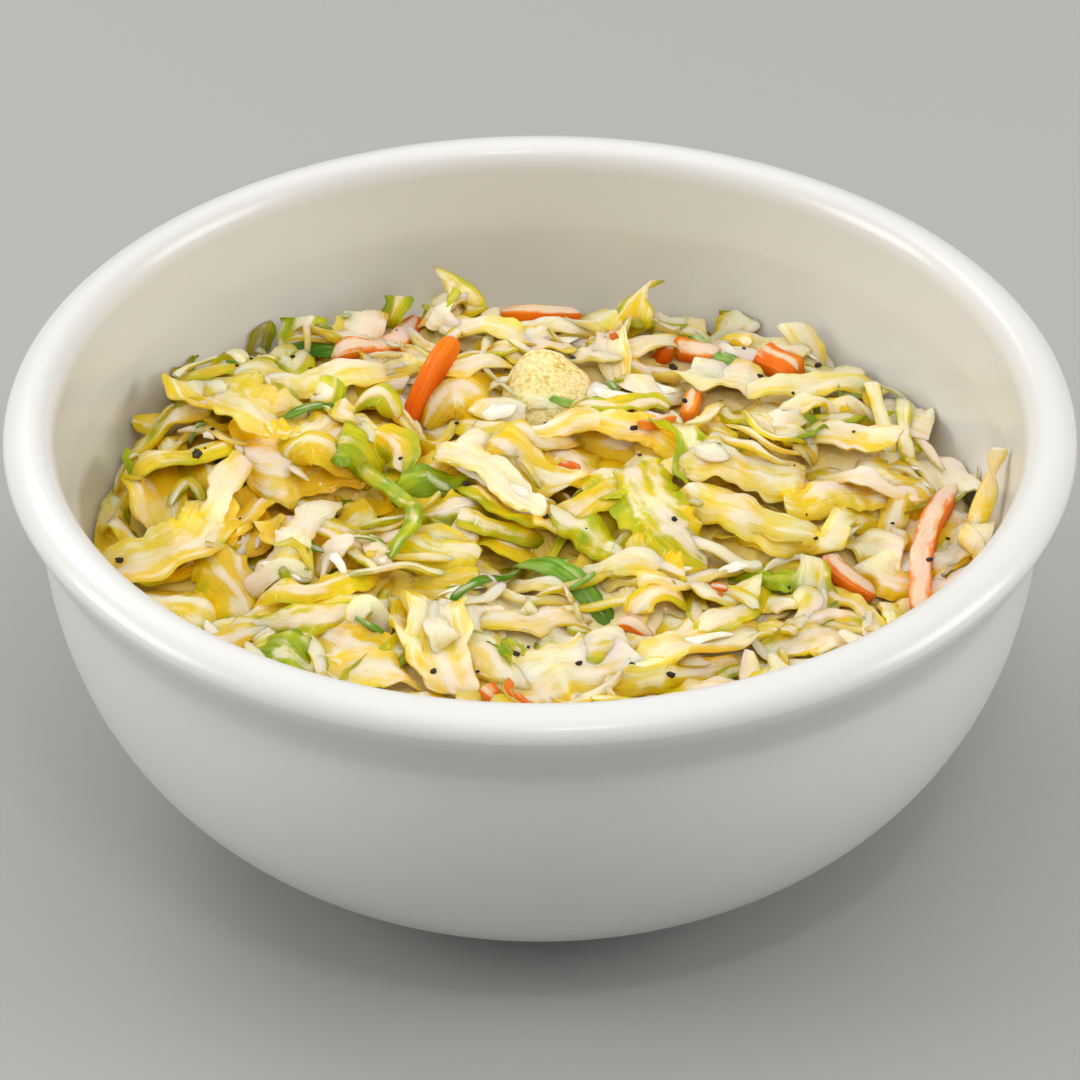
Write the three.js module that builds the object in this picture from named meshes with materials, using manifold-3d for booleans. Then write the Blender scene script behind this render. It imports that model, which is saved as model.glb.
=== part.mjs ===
// A white porcelain bowl of coleslaw, in millimetres: +Z up, standing on z = 0, centred on the Z axis.
// The bowl is one turned solid. The salad is one solid too: a domed core with the shreds of cabbage,
// the carrot sticks and the slivers of spring onion that lie on it fused to it.
import * as THREE from "three";
import { mergeVertices } from "three/addons/utils/BufferGeometryUtils.js";
import Module from "manifold-3d";

const wasm = await Module();
wasm.setup();

// ---- driving dimensions of the bowl ----
const rimRadius = 70; // outermost edge of the lip
const rimLevel = 58.5; // height of that edge
const crestRadius = 66; // highest circle of the lip
const bowlHeight = 61.4; // height of the crest
const bodyRadius = 66; // just under the lip
const creaseLevel = 49.5; // where the underside of the lip meets the body
const bodyDepth = 50; // vertical half axis of the body's rounded outline
const flankPower = 2.2; // how squarely the flank turns in
const basePower = 3; // how flat the base is
const wall = 3.6; // wall thickness
const floorLevel = 7; // top of the bowl's floor
const flare = 0.1; // how fast the cavity widens above the crease
const lipUnderside = [[66.9, 2.2], [68.6, 5.6]]; // radius, height over the crease
const footRadius = 34.5; // outside of the foot ring
const footWidth = 5;
const footHeight = 3;
const footRound = 0.7; // rounding of the ring's edges
const footLean = 1.5; // how far its inner side slopes
const footTaper = 0.3; // how far its outer side leans in towards the body
const footNeck = 0.4; // its outer side ends this far under the body
const recessLevel = 1.8; // underside inside the foot ring
const bowlSides = 52;
const flankSteps = 8; // rings down the flank, outside and inside
const lipSteps = 4; // rings over each half of the lip

// ---- driving dimensions of the salad ----
const saladRadius = 61;
const edgeLevel = 37; // salad height at the wall
const crown = 4.5; // how much higher it is in the middle
const coreDrop = 0.4; // the core lies this far under the surface that the shreds rest on
const coreSides = 24;
const coreLevels = [floorLevel + 1.2, 12, 19, 28]; // rings of its flank
const coreTopRings = 6;
const wallGap = 0.45; // clear space between salad and bowl
const shredSkin = 1.3; // thickness of a shred
const carrotDepth = 0.85; // thickness of a carrot stick as a share of its width
const endTaper = 0.55; // how much narrower a shred is at its ends
const edgeProbe = 0.35; // a shred feels for what lies under it this share of its width to each side
const propping = 0.55; // how far it stands on the highest thing under it
const settling = 0.7; // how far its roll follows the slope across it
const steepLift = 5; // a shred that lifts its far end by more than this stands straight
const sightLevel = 40;
const sightSlope = 1.39; // a point this much nearer shows in the same place as one a millimetre higher
const finest = 0.08; // details smaller than this are dropped once all is fused
const weld = 0.001; // points nearer than this are one point

// Small shreds laid between the large ones: the range of each size.
const filler = {
  count: 64,
  seed: 20,
  reach: 57,
  halfLength: [4, 8.5],
  width: [2.4, 5],
  bow: [-2, 2],
  arch: [0.3, 1.6],
  lift: [0, 1.6],
  roll: [-0.45, 0.45],
  twist: [-0.4, 0.4],
};

// The outline of one side of the bowl, r as a share of the half axes.
function flank(radius, depth, drop) {
  const share = Math.min(drop / depth, 1);
  return radius * (1 - share ** flankPower) ** (1 / basePower);
}

// Inside radius of the bowl at height z.
function innerRadius(z) {
  const radius = bodyRadius - wall;
  if (z >= creaseLevel) return radius + (z - creaseLevel) * flare;
  return flank(radius, creaseLevel - floorLevel, creaseLevel - z);
}

function at(r, z) {
  return new THREE.Vector2(r, z);
}

// Points of an elliptic quarter round from angle a to b about a centre.
function roundOff(centreR, centreZ, halfR, halfZ, a, b, steps) {
  const points = [];
  for (let i = 0; i <= steps; i++) {
    const t = a + ((b - a) * i) / steps;
    points.push(at(centreR + halfR * Math.cos(t), centreZ + halfZ * Math.sin(t)));
  }
  return points;
}

// The bowl's outline, from the middle of its underside out over foot, flank and lip and in down the cavity.
function bowlProfile() {
  const footInner = footRadius - footWidth;
  const points = [at(0, recessLevel), at(footInner - footLean, recessLevel), at(footInner, footRound)];
  points.push(at(footInner + footRound, 0), at(footRadius - footRound, 0), at(footRadius, footRound));
  points.push(at(footRadius - footTaper, footHeight - footNeck));
  const lowestDrop = creaseLevel - footHeight; // the flank starts at the foot
  for (let i = flankSteps; i >= 0; i--) {
    const drop = lowestDrop * Math.sin((i / flankSteps) * (Math.PI / 2));
    points.push(at(flank(bodyRadius, bodyDepth, drop), creaseLevel - drop));
  }
  points.push(...lipUnderside.map(([r, rise]) => at(r, creaseLevel + rise)));
  const lipOuter = rimRadius - crestRadius;
  const lipRise = bowlHeight - rimLevel;
  points.push(...roundOff(crestRadius, rimLevel, lipOuter, lipRise, 0, Math.PI / 2, lipSteps));
  const lipInner = crestRadius - innerRadius(rimLevel - 1);
  const inside = roundOff(crestRadius, rimLevel - 1, lipInner, lipRise + 1, Math.PI / 2, Math.PI, lipSteps);
  points.push(...inside.slice(1));
  const neckLevel = creaseLevel + 3;
  points.push(at(innerRadius(neckLevel), neckLevel));
  for (let i = 0; i < flankSteps; i++) {
    const z = creaseLevel - (creaseLevel - floorLevel) * Math.sin((i / flankSteps) * (Math.PI / 2));
    points.push(at(innerRadius(z), z));
  }
  points.push(at(0, floorLevel));
  return points;
}

function makeBowl() {
  const geometry = new THREE.LatheGeometry(bowlProfile(), bowlSides).rotateX(Math.PI / 2);
  const glaze = new THREE.MeshStandardMaterial({ color: 0xf1f0ec, roughness: 0.18, metalness: 0 });
  const mesh = new THREE.Mesh(geometry, glaze);
  mesh.name = "bowl";
  return mesh;
}

// ---- the salad's surface ----
// Broad mounds (positive) and hollows (negative): x, y, height, spread.
const relief = [
  [-46, 14, 3.0, 9],
  [-12, 38, 2.4, 11],
  [28, 16, 3.2, 10],
  [16, 2, 2.2, 8],
  [-30, 22, 2.2, 8],
  [-26, -12, 1.6, 9],
  [-22, 4, -4.5, 4],
  [-37, 4, -3.2, 4],
  [-14, 23, -3.6, 4],
  [6, 9, -2.6, 5],
  [41, 15, -2.6, 4],
  [2, -16, -3.4, 11],
  [34, -18, -2.0, 8],
  [-58, 12, 2.5, 9],
  [-50, 32, 4.5, 9],
  [-36, 46, 3.0, 8],
  [42, 40, 2.0, 9],
];

// Height of the heap's surface at a point in plan.
function heapHeight(x, y) {
  const share = Math.min(Math.hypot(x, y) / saladRadius, 1);
  let z = edgeLevel + crown * (1 - share * share);
  for (const [cx, cy, height, spread] of relief) {
    z += height * Math.exp(-((x - cx) ** 2 + (y - cy) ** 2) / (2 * spread * spread));
  }
  return z;
}

// ---- laying shreds ----
// Each row is one large piece: what it is, its ends and its width, then its bow sideways, how far its
// middle arches up, how far its far end lifts, its roll in degrees, its twist and how far it is cupped.
// The ends are where they show on the level plane z = sightLevel, looked at down sightSlope.
const large = [
  ["yellow", -56, 11, -42, 22, 8, 5, 2.5, 0, -18, 0, 0.9],
  ["cream", -41, 18, -53, -11, 6, -4.5, 1.5, 0, 38, -25, 0.7],
  ["cream", -54, 13, -49, 2, 9, -1, 1, 0, -10, 10, 0.8],
  ["cream", -58, 9, -55, 0, 4, -1, 0.5, 1, 20, 0, 0.4],
  ["yellow", -59, -2, -54, -12, 5, -1, 0.6, 0, 15, 15, 0.6],
  ["cream", -41, 18, -25, 20, 10, -2.5, 3, 0, 14, 14, 0.8],
  ["cream", -36, -9, -29, 6, 4.2, 1, 1.2, 1, 0, 0, 0.7],
  ["cream", -34, 13, -26, 8, 2.4, 0.4, 1.2, 0, 0, 0, 0.4],
  ["yellow", -30, 4, -20, -7, 9, 1.5, 1.6, 0, -14, 14, 0.9],
  ["yellow", -45, -5, -37, -15, 7, 1, 1, 0, 12, -18, 0.8],
  ["cream", -38, -16, -25, -9, 4, -0.8, 1, 0.5, 10, 0, 0.8],
  ["lime", -41, -25, -26, -15, 5, 0.6, 1, 0, 24, 0, 0.5],
  ["leaf", -37, -24, -28, -31, 5.5, 1, 0.8, 0, 10, 20, 0.6],
  ["cream", -27, -18, -18, -17, 4.5, 1, 0.6, 0, 0, 0, 0.6],
  ["cream", -15, -14, -7, -37, 6.5, 2.6, 2.4, -1, -22, 26, 1.0],
  ["lime", -22, -31, -15, -27, 5, 0.6, 0.8, 0, -14, 0, 0.6],
  ["leaf", -27, 19, -19, -9, 2.2, 5.4, 2.2, -1, 22, 0, 0.3],
  ["leaf", -22, 22, -18, 13, 6, 0.8, 2.2, 0, 24, 20, 0.8],
  ["lime", -18, -4, -8, -6, 7, 0.6, 1.4, 0, 16, 0, 1.0],
  ["lime", -17, 6, -6, 5, 6, -1, 1.4, 0, 10, 10, 0.8],
  ["cream", -51, 37, -43, 31, 5, -1.4, 1.4, 0, 10, 0, 0.9],
  ["cream", -46, 32, -34, 26, 10, 1, 1.4, 0, 0, 12, 0.7],
  ["cream", -40, 37, -21, 38, 5, 1, 1.6, 0, 12, 0, 0.7],
  ["cream", -22, 43, 0, 45, 3.4, 1.6, 1.6, 0, 12, -10, 0.5],
  ["cream", -18, 52, -10, 47, 7, -1, 1.5, 1.5, 10, 0, 0.7],
  ["lime", -17, 57, -6, 55, 5, 1, 1.4, 0, 28, 0, 0.5],
  ["yellow", -15, 37, -5, 41, 6, -1.2, 1.6, 0, -12, 0, 0.9],
  ["cream", -14, 27, -8, 31, 5, -0.8, 1.8, 0, 0, 0, 1.1],
  ["cream", -3, 39, 9, 29, 11, 0, 1.6, 0, 0, 8, 0.4],
  ["leaf", 11, 47, 15.4, 62.5, 4.8, 0, 0.4, 7, 0, 0, 0.6],
  ["cream", 5, 45, 22, 42, 4, 2, 1.4, 0, 8, 0, 0.7],
  ["leaf", 20, 50, 28, 41, 2.6, -0.6, 1.5, 0, 0, 0, 0.5],
  ["lime", 25, 49, 33, 51, 6, 2, 1.5, 1, 30, 0, 0.5],
  ["cream", 25, 45, 36, 46, 5, 1.2, 1.6, 0, 0, 0, 0.9],
  ["cream", 35, 49, 39, 41, 5, 1.4, 1.5, 0, 25, 0, 0.7],
  ["cream", 9, 37, 20, 33, 6, 1.2, 1.4, 0, 12, 0, 0.8],
  ["yellow", 21, 36, 39, 31, 6, 0.6, 1.2, 0, 8, 0, 0.7],
  ["cream", 21, 23, 26, 31, 2.4, 0, 1.4, 1, 0, 0, 0.3],
  ["lime", 36, 29, 46, 27, 6, 1.8, 2, 0, 20, 0, 1.0],
  ["lime", 48, 33, 50, 17, 2.6, 1, 2.2, 0, 0, 20, 0.4],
  ["lime", -2, 23, 17, 24, 6, 2, 2, 0, 20, -16, 0.8],
  ["lime", 14, 25, 27, 2, 5, 2, 1.6, 0, 26, 0, 0.6],
  ["leaf", 11, 17, 21, -9, 9.5, -2.4, 3, 0, 8, 12, 0.9],
  ["cream", 21, 19, 36, 11, 9, -1.8, 3, 0, -10, 0, 1.2],
  ["cream", 20, 9, 40, -2, 10, -4.5, 2.4, 1, -16, 0, 1.35],
  ["yellow", 33, 6, 53, 9, 7, 1, 2, 0, -14, 12, 0.9],
  ["cream", 57, -5, 61, 8, 5, 1, 0.6, 1, 30, 0, 0.5],
  ["cream", 59.5, -2.5, 64.2, 21, 2.8, -0.6, 0, 12, 0, 0, 0.3],
  ["yellow", 43, -1, 51, 1, 5, 0.8, 1, 0, 14, 0, 0.8],
  ["lime", 24, -21, 32, -10, 5, 0.8, 1.2, 0, 22, 0, 0.8],
  ["cream", 10, -19, 26, -11, 6, 1.6, 1.4, 0, -16, 0, 1.0],
  ["cream", 12, -32, 31, -22, 6.5, 1, 1, 0, -14, 0, 0.8],
  ["cream", -2, -38, 11, -28, 10, 0.6, 0.8, 0, 6, 0, 0.5],
  ["lime", 30, -29, 41, -23, 6, 0.6, 0.8, 0, 0, 0, 0.5],
  ["cream", -13, 16, -1, 7, 4, -1.4, 2, 0, 6, 0, 0.8],
  ["yellow", -8, 20, 9, 13, 7, 1.4, 1, 0, -12, 12, 1.0],
  ["lime", 1, 4, 12, 0, 6, 0.8, 1, 0, 8, 0, 0.8],
  ["cream", -8, -21, 10, -23, 5, 1, 0.6, 0, 10, 0, 0.5],
  ["onion", -1, -8, 10, -12, 2.6, 0.6, 1, 0, 0, 0, 0.5],
  ["onion", -34, 46, -31, 40, 4, 0.4, 1, 0, 0, 0, 0.6],
];

// Carrot sticks: both ends in plan, width, bow sideways, arch, lift of the far end.
const carrots = [
  [-18, 24.5, -13.3, 43.5, 3.2, 0, 0, 9],
  [50, -18, 56, 8, 3.4, 1.8, 1.2, 2],
  [44, -17, 37, -6, 3.8, 0.4, 0.6, 1.5],
  [-29, 42, -18, 46, 3.2, 0.6, 1, 0],
  [-7, 52, 6, 54, 3.2, 0.6, 0.8, 0],
  [31, 43, 35, 36, 4.2, 0.4, 1.4, 0],
  [18, 44, 25, 42, 3, 0, 1, 0],
  [12, 24, 18, 27, 2.2, 0, 1.2, 0],
];

// A repeatable stream of numbers from 0 to 1.
function randomStream(start) {
  let state = start >>> 0;
  return () => {
    state = (Math.imul(state, 1664525) + 1013904223) >>> 0;
    return state / 4294967296;
  };
}

// Moves both ends of a piece from the sight plane down or up the line of sight to the heap.
function ontoHeap(shred) {
  for (const [x, y] of [["ax", "ay"], ["bx", "by"]]) {
    const seen = shred[y];
    for (let pass = 0; pass < 3; pass++) {
      shred[y] = seen - sightSlope * (heapHeight(shred[x], shred[y]) + shred.thickness - sightLevel);
    }
  }
  shred.by -= sightSlope * shred.lift;
  return shred;
}

function largeShreds() {
  return large.map(([tone, ax, ay, bx, by, width, bow, arch, lift, roll, twist, cup]) => ontoHeap({
    tone, ax, ay, bx, by, width, bow, arch, lift, cup,
    roll: THREE.MathUtils.degToRad(roll), twist: THREE.MathUtils.degToRad(twist), thickness: shredSkin,
  }));
}

function carrotSticks() {
  return carrots.map(([ax, ay, bx, by, width, bow, arch, lift]) => ontoHeap({
    tone: "carrot", ax, ay, bx, by, width, bow, arch, lift, cup: 0, roll: 0, twist: 0,
    thickness: width * carrotDepth,
  }));
}

// Small shreds on a sunflower spiral, so that they are spread evenly, each turned and sized at random.
function fillerShreds() {
  const random = randomStream(filler.seed);
  const between = ([least, most]) => least + (most - least) * random();
  const turn = Math.PI * (3 - Math.sqrt(5));
  const stride = 23; // taken out of order, so that no side lies on top of all the others
  const rows = [];
  for (let i = 0; i < filler.count; i++) {
    const k = (i * stride) % filler.count;
    const r = filler.reach * Math.sqrt((k + 0.5) / filler.count);
    const x = r * Math.cos(k * turn);
    const y = r * Math.sin(k * turn);
    const heading = random() * Math.PI * 2;
    const half = between(filler.halfLength);
    const dx = half * Math.cos(heading);
    const dy = half * Math.sin(heading);
    rows.push({
      tone: "filler", ax: x - dx, ay: y - dy, bx: x + dx, by: y + dy, width: between(filler.width),
      bow: between(filler.bow), arch: between(filler.arch), lift: between(filler.lift),
      roll: between(filler.roll), twist: between(filler.twist), cup: 0, thickness: shredSkin,
    });
  }
  return rows;
}

// A map of how high the salad is, one value to a millimetre, which each shred rests on and then raises.
const mapHalf = 64;
const mapSide = 2 * mapHalf + 1;
const heightMap = new Float64Array(mapSide * mapSide);
for (let j = 0; j < mapSide; j++) {
  for (let i = 0; i < mapSide; i++) heightMap[j * mapSide + i] = heapHeight(i - mapHalf, j - mapHalf);
}

function cellOf(x, y) {
  const i = Math.min(Math.max(Math.floor(x + mapHalf + 0.5), 0), mapSide - 1);
  const j = Math.min(Math.max(Math.floor(y + mapHalf + 0.5), 0), mapSide - 1);
  return j * mapSide + i;
}

// The middle line of a shred in plan at u, from -1 at one end to 1 at the other, and its sideways direction.
function middleLine(shred, u) {
  const halfX = (shred.bx - shred.ax) / 2;
  const halfY = (shred.by - shred.ay) / 2;
  const half = Math.hypot(halfX, halfY);
  const sag = shred.bow * (1 - u * u);
  const x = shred.ax + halfX * (1 + u) - (halfY / half) * sag;
  const y = shred.ay + halfY * (1 + u) + (halfX / half) * sag;
  const slope = (-2 * shred.bow * u) / half;
  const tangentX = halfX - halfY * slope;
  const tangentY = halfY + halfX * slope;
  const size = Math.hypot(tangentX, tangentY);
  return { x, y, half, sideX: -tangentY / size, sideY: tangentX / size };
}

const restStations = [-1, -0.6, -0.2, 0.2, 0.6, 1];

// The sum over the stations of u to a power, times the value there.
function momentOf(values, power) {
  return restStations.reduce((total, u, i) => total + values[i] * u ** power, 0);
}

// Rests a shred on the map: its height is the parabola along u nearest to what lies under it, raised a
// little where that pokes through, and its roll follows the slope across it.
function restShred(shred) {
  const reach = shred.width * edgeProbe;
  const places = restStations.map((u) => middleLine(shred, u));
  const leftOf = places.map((p) => heightMap[cellOf(p.x + p.sideX * reach, p.y + p.sideY * reach)]);
  const rightOf = places.map((p) => heightMap[cellOf(p.x - p.sideX * reach, p.y - p.sideY * reach)]);
  const under = places.map((p, i) => Math.max(heightMap[cellOf(p.x, p.y)], (leftOf[i] + rightOf[i]) / 2));
  const ones = restStations.map(() => 1);
  const count = restStations.length;
  const squares = momentOf(ones, 2);
  const det = count * momentOf(ones, 4) - squares ** 2;
  const straight = shred.lift > steepLift;
  const total = momentOf(under, 0);
  const level = straight ? total / count : (total * momentOf(ones, 4) - momentOf(under, 2) * squares) / det;
  const slope = momentOf(under, 1) / squares;
  const curve = straight ? 0 : (count * momentOf(under, 2) - squares * total) / det;
  const above = under.map((z, i) => z - (level + slope * restStations[i] + curve * restStations[i] ** 2));
  shred.rest = [level + Math.max(...above) * propping, slope, curve];
  const tilts = leftOf.map((z, i) => Math.atan2(z - rightOf[i], 2 * reach));
  shred.roll += (momentOf(tilts, 0) / count) * settling;
}

// Height of a shred's middle line at u: where it rests, its arch, and the lift of its far end.
function middleHeight(shred, u) {
  const [c0, c1, c2] = shred.rest;
  const farEnd = Math.max((u + 1) / 2, 0) ** 1.5;
  return c0 + c1 * u + c2 * u * u + shred.arch * (1 - u * u) + shred.lift * farEnd;
}

// A point of a shred: u runs along it, v across it from -1 to 1, and out is how far it lies off the middle
// skin. The section stands square to the middle line, also where that climbs.
function shredPoint(shred, u, v, out) {
  const { x, y, half, sideX, sideY } = middleLine(shred, u);
  const halfWidth = (shred.width / 2) * (1 - endTaper * Math.abs(u) ** 4);
  const bend = Math.max(shred.cup, 0.01);
  const reach = halfWidth / bend + out;
  const across = reach * Math.sin(bend * v);
  const above = reach * Math.cos(bend * v) - halfWidth / bend;
  const roll = shred.roll + shred.twist * u;
  const side = across * Math.cos(roll) - above * Math.sin(roll);
  const up = across * Math.sin(roll) + above * Math.cos(roll);
  const step = 0.02;
  const rise = middleHeight(shred, u + step) - middleHeight(shred, u - step);
  const climb = Math.atan2(rise, 2 * step * half);
  const z = middleHeight(shred, u) + up * Math.cos(climb);
  const back = up * Math.sin(climb);
  const px = x + sideX * side - sideY * back;
  const py = y + sideY * side + sideX * back;
  const r = Math.hypot(px, py);
  const limit = innerRadius(Math.max(z, floorLevel + 1)) - wallGap;
  const inward = Math.min(1, limit / Math.max(r, 1e-6));
  return [px * inward, py * inward, z];
}

// Raises the map to the top of a shred at points about a millimetre apart.
function raiseMap(shred) {
  const [lengthSteps, widthSteps] = [24, 6];
  for (let i = 0; i <= lengthSteps; i++) {
    for (let j = 0; j <= widthSteps; j++) {
      const u = (2 * i) / lengthSteps - 1;
      const v = (2 * j) / widthSteps - 1;
      const [x, y, z] = shredPoint(shred, u, v, shred.thickness / 2);
      const cell = cellOf(x, y);
      heightMap[cell] = Math.max(heightMap[cell], z);
    }
  }
}

// A closed strip: a ring of points round the section is carried along u, and both ends are capped.
function stripGeometry(shred) {
  const length = Math.hypot(shred.bx - shred.ax, shred.by - shred.ay);
  const stepLength = 4.5;
  const steps = shred.tone === "filler" ? 2 : Math.max(2, Math.min(5, Math.round(length / stepLength)));
  const wide = shred.cup > 0.75 && shred.width > 6; // only these show their hollow
  const vs = wide ? [-1, 0, 1] : [-1, 1];
  const half = shred.thickness / 2;
  const ring = [...vs.map((v) => [v, half]), ...vs.toReversed().map((v) => [v, -half])];
  const positions = [];
  for (let i = 0; i <= steps; i++) {
    const u = -1 + (2 * i) / steps;
    for (const [v, out] of ring) positions.push(...shredPoint(shred, u, v, out));
  }
  const index = [];
  const n = ring.length;
  for (let i = 0; i < steps; i++) {
    for (let k = 0; k < n; k++) {
      const a = i * n + k;
      const b = i * n + ((k + 1) % n);
      index.push(a, a + n, b, b, a + n, b + n);
    }
  }
  const across = vs.length;
  for (let k = 0; k < across - 1; k++) {
    for (const [start, flip] of [[0, false], [steps * n, true]]) {
      const [a, b, c, d] = [start + k, start + k + 1, start + n - 2 - k, start + n - 1 - k];
      if (flip) index.push(a, d, b, b, d, c);
      else index.push(a, b, d, b, c, d);
    }
  }
  const geometry = new THREE.BufferGeometry();
  geometry.setAttribute("position", new THREE.Float32BufferAttribute(positions, 3));
  geometry.setIndex(index);
  return geometry;
}

// The core: turned like the inside of the bowl, with its top raised to the heap's surface.
function coreGeometry() {
  const profile = [at(0, floorLevel + wallGap)];
  profile.push(...coreLevels.map((z) => at(innerRadius(z) - wallGap, z + wallGap)));
  const edge = innerRadius(edgeLevel - 1) - wallGap;
  for (let i = 0; i <= coreTopRings; i++) profile.push(at(edge * (1 - i / coreTopRings), edgeLevel));
  const geometry = new THREE.LatheGeometry(profile, coreSides).rotateX(Math.PI / 2);
  const place = geometry.attributes.position;
  for (let i = 0; i < place.count; i++) {
    if (place.getZ(i) > edgeLevel - 0.01) {
      place.setZ(i, heapHeight(place.getX(i), place.getY(i)) - coreDrop);
    }
  }
  return geometry;
}

// A three.js geometry as a manifold-3d solid, with shared vertices merged and empty triangles dropped.
function solidOf(geometry) {
  const bare = new THREE.BufferGeometry();
  bare.setAttribute("position", geometry.getAttribute("position"));
  bare.setIndex(geometry.getIndex());
  const merged = mergeVertices(bare, weld);
  const kept = [];
  const index = merged.index.array;
  for (let i = 0; i < index.length; i += 3) {
    const [a, b, c] = [index[i], index[i + 1], index[i + 2]];
    if (a !== b && b !== c && a !== c) kept.push(a, b, c);
  }
  const vertProperties = merged.attributes.position.array;
  return new wasm.Manifold(new wasm.Mesh({ numProp: 3, vertProperties, triVerts: new Uint32Array(kept) }));
}

function geometryOf(solid) {
  const { vertProperties, triVerts } = solid.getMesh();
  const geometry = new THREE.BufferGeometry();
  geometry.setAttribute("position", new THREE.BufferAttribute(vertProperties, 3));
  geometry.setIndex(new THREE.BufferAttribute(triVerts, 1));
  return geometry;
}

// The largest body of a solid, without loose scraps and with the hollows that fusing has sealed filled in.
function onlyBody(solid) {
  let bodies = [solid];
  do {
    bodies = solidOf(geometryOf(bodies[0])).decompose().sort((a, b) => b.volume() - a.volume());
  } while (bodies.length > 1);
  return bodies[0];
}

function makeColeslaw() {
  let heap = solidOf(coreGeometry());
  const shreds = [...fillerShreds(), ...largeShreds(), ...carrotSticks()];
  for (const shred of shreds) {
    restShred(shred);
    raiseMap(shred);
    heap = heap.add(solidOf(stripGeometry(shred)));
  }
  heap = onlyBody(heap.simplify(finest));
  const salad = new THREE.MeshStandardMaterial({ color: 0xe6d888, roughness: 0.45, metalness: 0 });
  const mesh = new THREE.Mesh(geometryOf(heap), salad);
  mesh.name = "coleslaw";
  return mesh;
}

const bowlOfColeslaw = new THREE.Group();
bowlOfColeslaw.name = "bowl_of_coleslaw";
bowlOfColeslaw.add(makeBowl(), makeColeslaw());

export default bowlOfColeslaw;
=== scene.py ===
import math

import bpy
import numpy as np
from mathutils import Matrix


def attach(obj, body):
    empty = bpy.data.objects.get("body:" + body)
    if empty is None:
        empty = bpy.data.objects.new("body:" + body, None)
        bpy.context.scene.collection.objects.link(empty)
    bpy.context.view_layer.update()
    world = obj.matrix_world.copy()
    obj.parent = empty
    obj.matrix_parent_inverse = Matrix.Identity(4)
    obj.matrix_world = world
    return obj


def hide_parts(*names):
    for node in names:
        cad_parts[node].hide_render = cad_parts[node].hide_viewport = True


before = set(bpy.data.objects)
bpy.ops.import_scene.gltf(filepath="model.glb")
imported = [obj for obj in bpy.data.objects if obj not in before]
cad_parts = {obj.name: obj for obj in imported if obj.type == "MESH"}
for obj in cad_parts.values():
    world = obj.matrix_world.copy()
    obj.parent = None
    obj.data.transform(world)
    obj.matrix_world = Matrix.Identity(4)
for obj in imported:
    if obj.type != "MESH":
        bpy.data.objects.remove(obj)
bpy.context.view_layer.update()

print("frame loaded, nodes:", ", ".join(sorted(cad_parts)))

mm = 0.001  # the sizes below are in millimetres, and meshes are written in metres

viewer = {
    "elevation": 35.65,  # degrees above the table
    "distance": 560.0,
    "target": (0.0, 0.0, 38.26),
    "lens": 139.5,
    "sensor": 36.0,
    "clip": (0.01, 10.0),  # in metres
}


def eyePlace():
    # target + distance (0, -cos e, sin e)
    e = math.radians(viewer["elevation"])
    return np.array(viewer["target"]) + viewer["distance"] * np.array([0.0, -math.cos(e), math.sin(e)])


def makeCamera(spec):
    # it stands at eyePlace and looks back at the target
    data = bpy.data.cameras.new("camera")
    data.lens = spec["lens"]
    data.sensor_width = spec["sensor"]
    data.clip_start, data.clip_end = spec["clip"]
    camera = bpy.data.objects.new("camera", data)
    camera.location = eyePlace() * mm
    camera.rotation_euler = (math.pi / 2 - math.radians(spec["elevation"]), 0.0, 0.0)
    bpy.context.scene.collection.objects.link(camera)
    bpy.context.scene.camera = camera
    print("camera placed")


bowlMiddle, saladTop = (0.0, 0.0, 0.04), (0.0, 0.05, 0.05)
warmLight, softLight, whiteLight = (1.0, 0.97, 0.92), (1.0, 0.985, 0.96), (1.0, 1.0, 1.0)
lamps = [
    # name, place in metres, aimed at, size in metres, watts, colour, share of its glints
    ("keySoftbox", (-0.50, 0.60, 0.72), bowlMiddle, (0.50, 0.36), 1.8, warmLight, 0.5),
    ("topSoftbox", (0.0, -0.10, 0.95), bowlMiddle, (0.80, 0.80), 2.0, softLight, 0.5),
    ("leftSoftbox", (-0.88, -0.05, 0.42), bowlMiddle, (0.50, 0.40), 3.8, softLight, 0.15),
    ("rightSoftbox", (0.88, -0.05, 0.42), bowlMiddle, (0.50, 0.40), 3.6, softLight, 0.15),
    ("windowLeft", (0.06, -0.55, 0.95), saladTop, (0.035, 0.05), 0.45, whiteLight, 1.0),
    ("windowRight", (0.15, -0.52, 0.95), saladTop, (0.045, 0.05), 0.5, whiteLight, 1.0),
]


def makeLamp(name, place, aim, size, power, colour, glint):
    # a flat lamp tilted by atan2(run, drop) and turned by atan2(-dx, dy), so that it faces its aim
    data = bpy.data.lights.new(name, "AREA")
    data.shape = "RECTANGLE"
    data.size, data.size_y = size
    data.energy = power
    data.color = colour
    data.specular_factor = glint
    lamp = bpy.data.objects.new(name, data)
    lamp.location = place
    dx, dy, dz = (a - p for a, p in zip(aim, place))
    lamp.rotation_euler = (math.atan2(math.hypot(dx, dy), -dz), 0.0, math.atan2(-dx, dy))
    bpy.context.scene.collection.objects.link(lamp)


def newMaterial(name):
    material = bpy.data.materials.new(name)
    material.use_nodes = True
    tree = material.node_tree
    return material, tree.nodes, tree.links, tree.nodes["Principled BSDF"]


def setInputs(node, inputs):
    for key, value in inputs.items():
        node.inputs[key.replace("_", " ")].default_value = value
    return node


def addNode(nodes, kind, **inputs):
    return setInputs(nodes.new("ShaderNode" + kind), inputs)


def feed(nodes, links, kind, socket, source, **inputs):
    # a new node of that kind, fed by source
    node = addNode(nodes, kind, **inputs)
    links.new(source, node.inputs[socket])
    return node


def mapRange(nodes, links, source, fromMin, fromMax, toMin, toMax, smooth=False):
    node = feed(nodes, links, "MapRange", "Value", source,
                From_Min=fromMin, From_Max=fromMax, To_Min=toMin, To_Max=toMax)
    if smooth:
        node.interpolation_type = "SMOOTHSTEP"
    return node.outputs["Result"]


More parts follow.
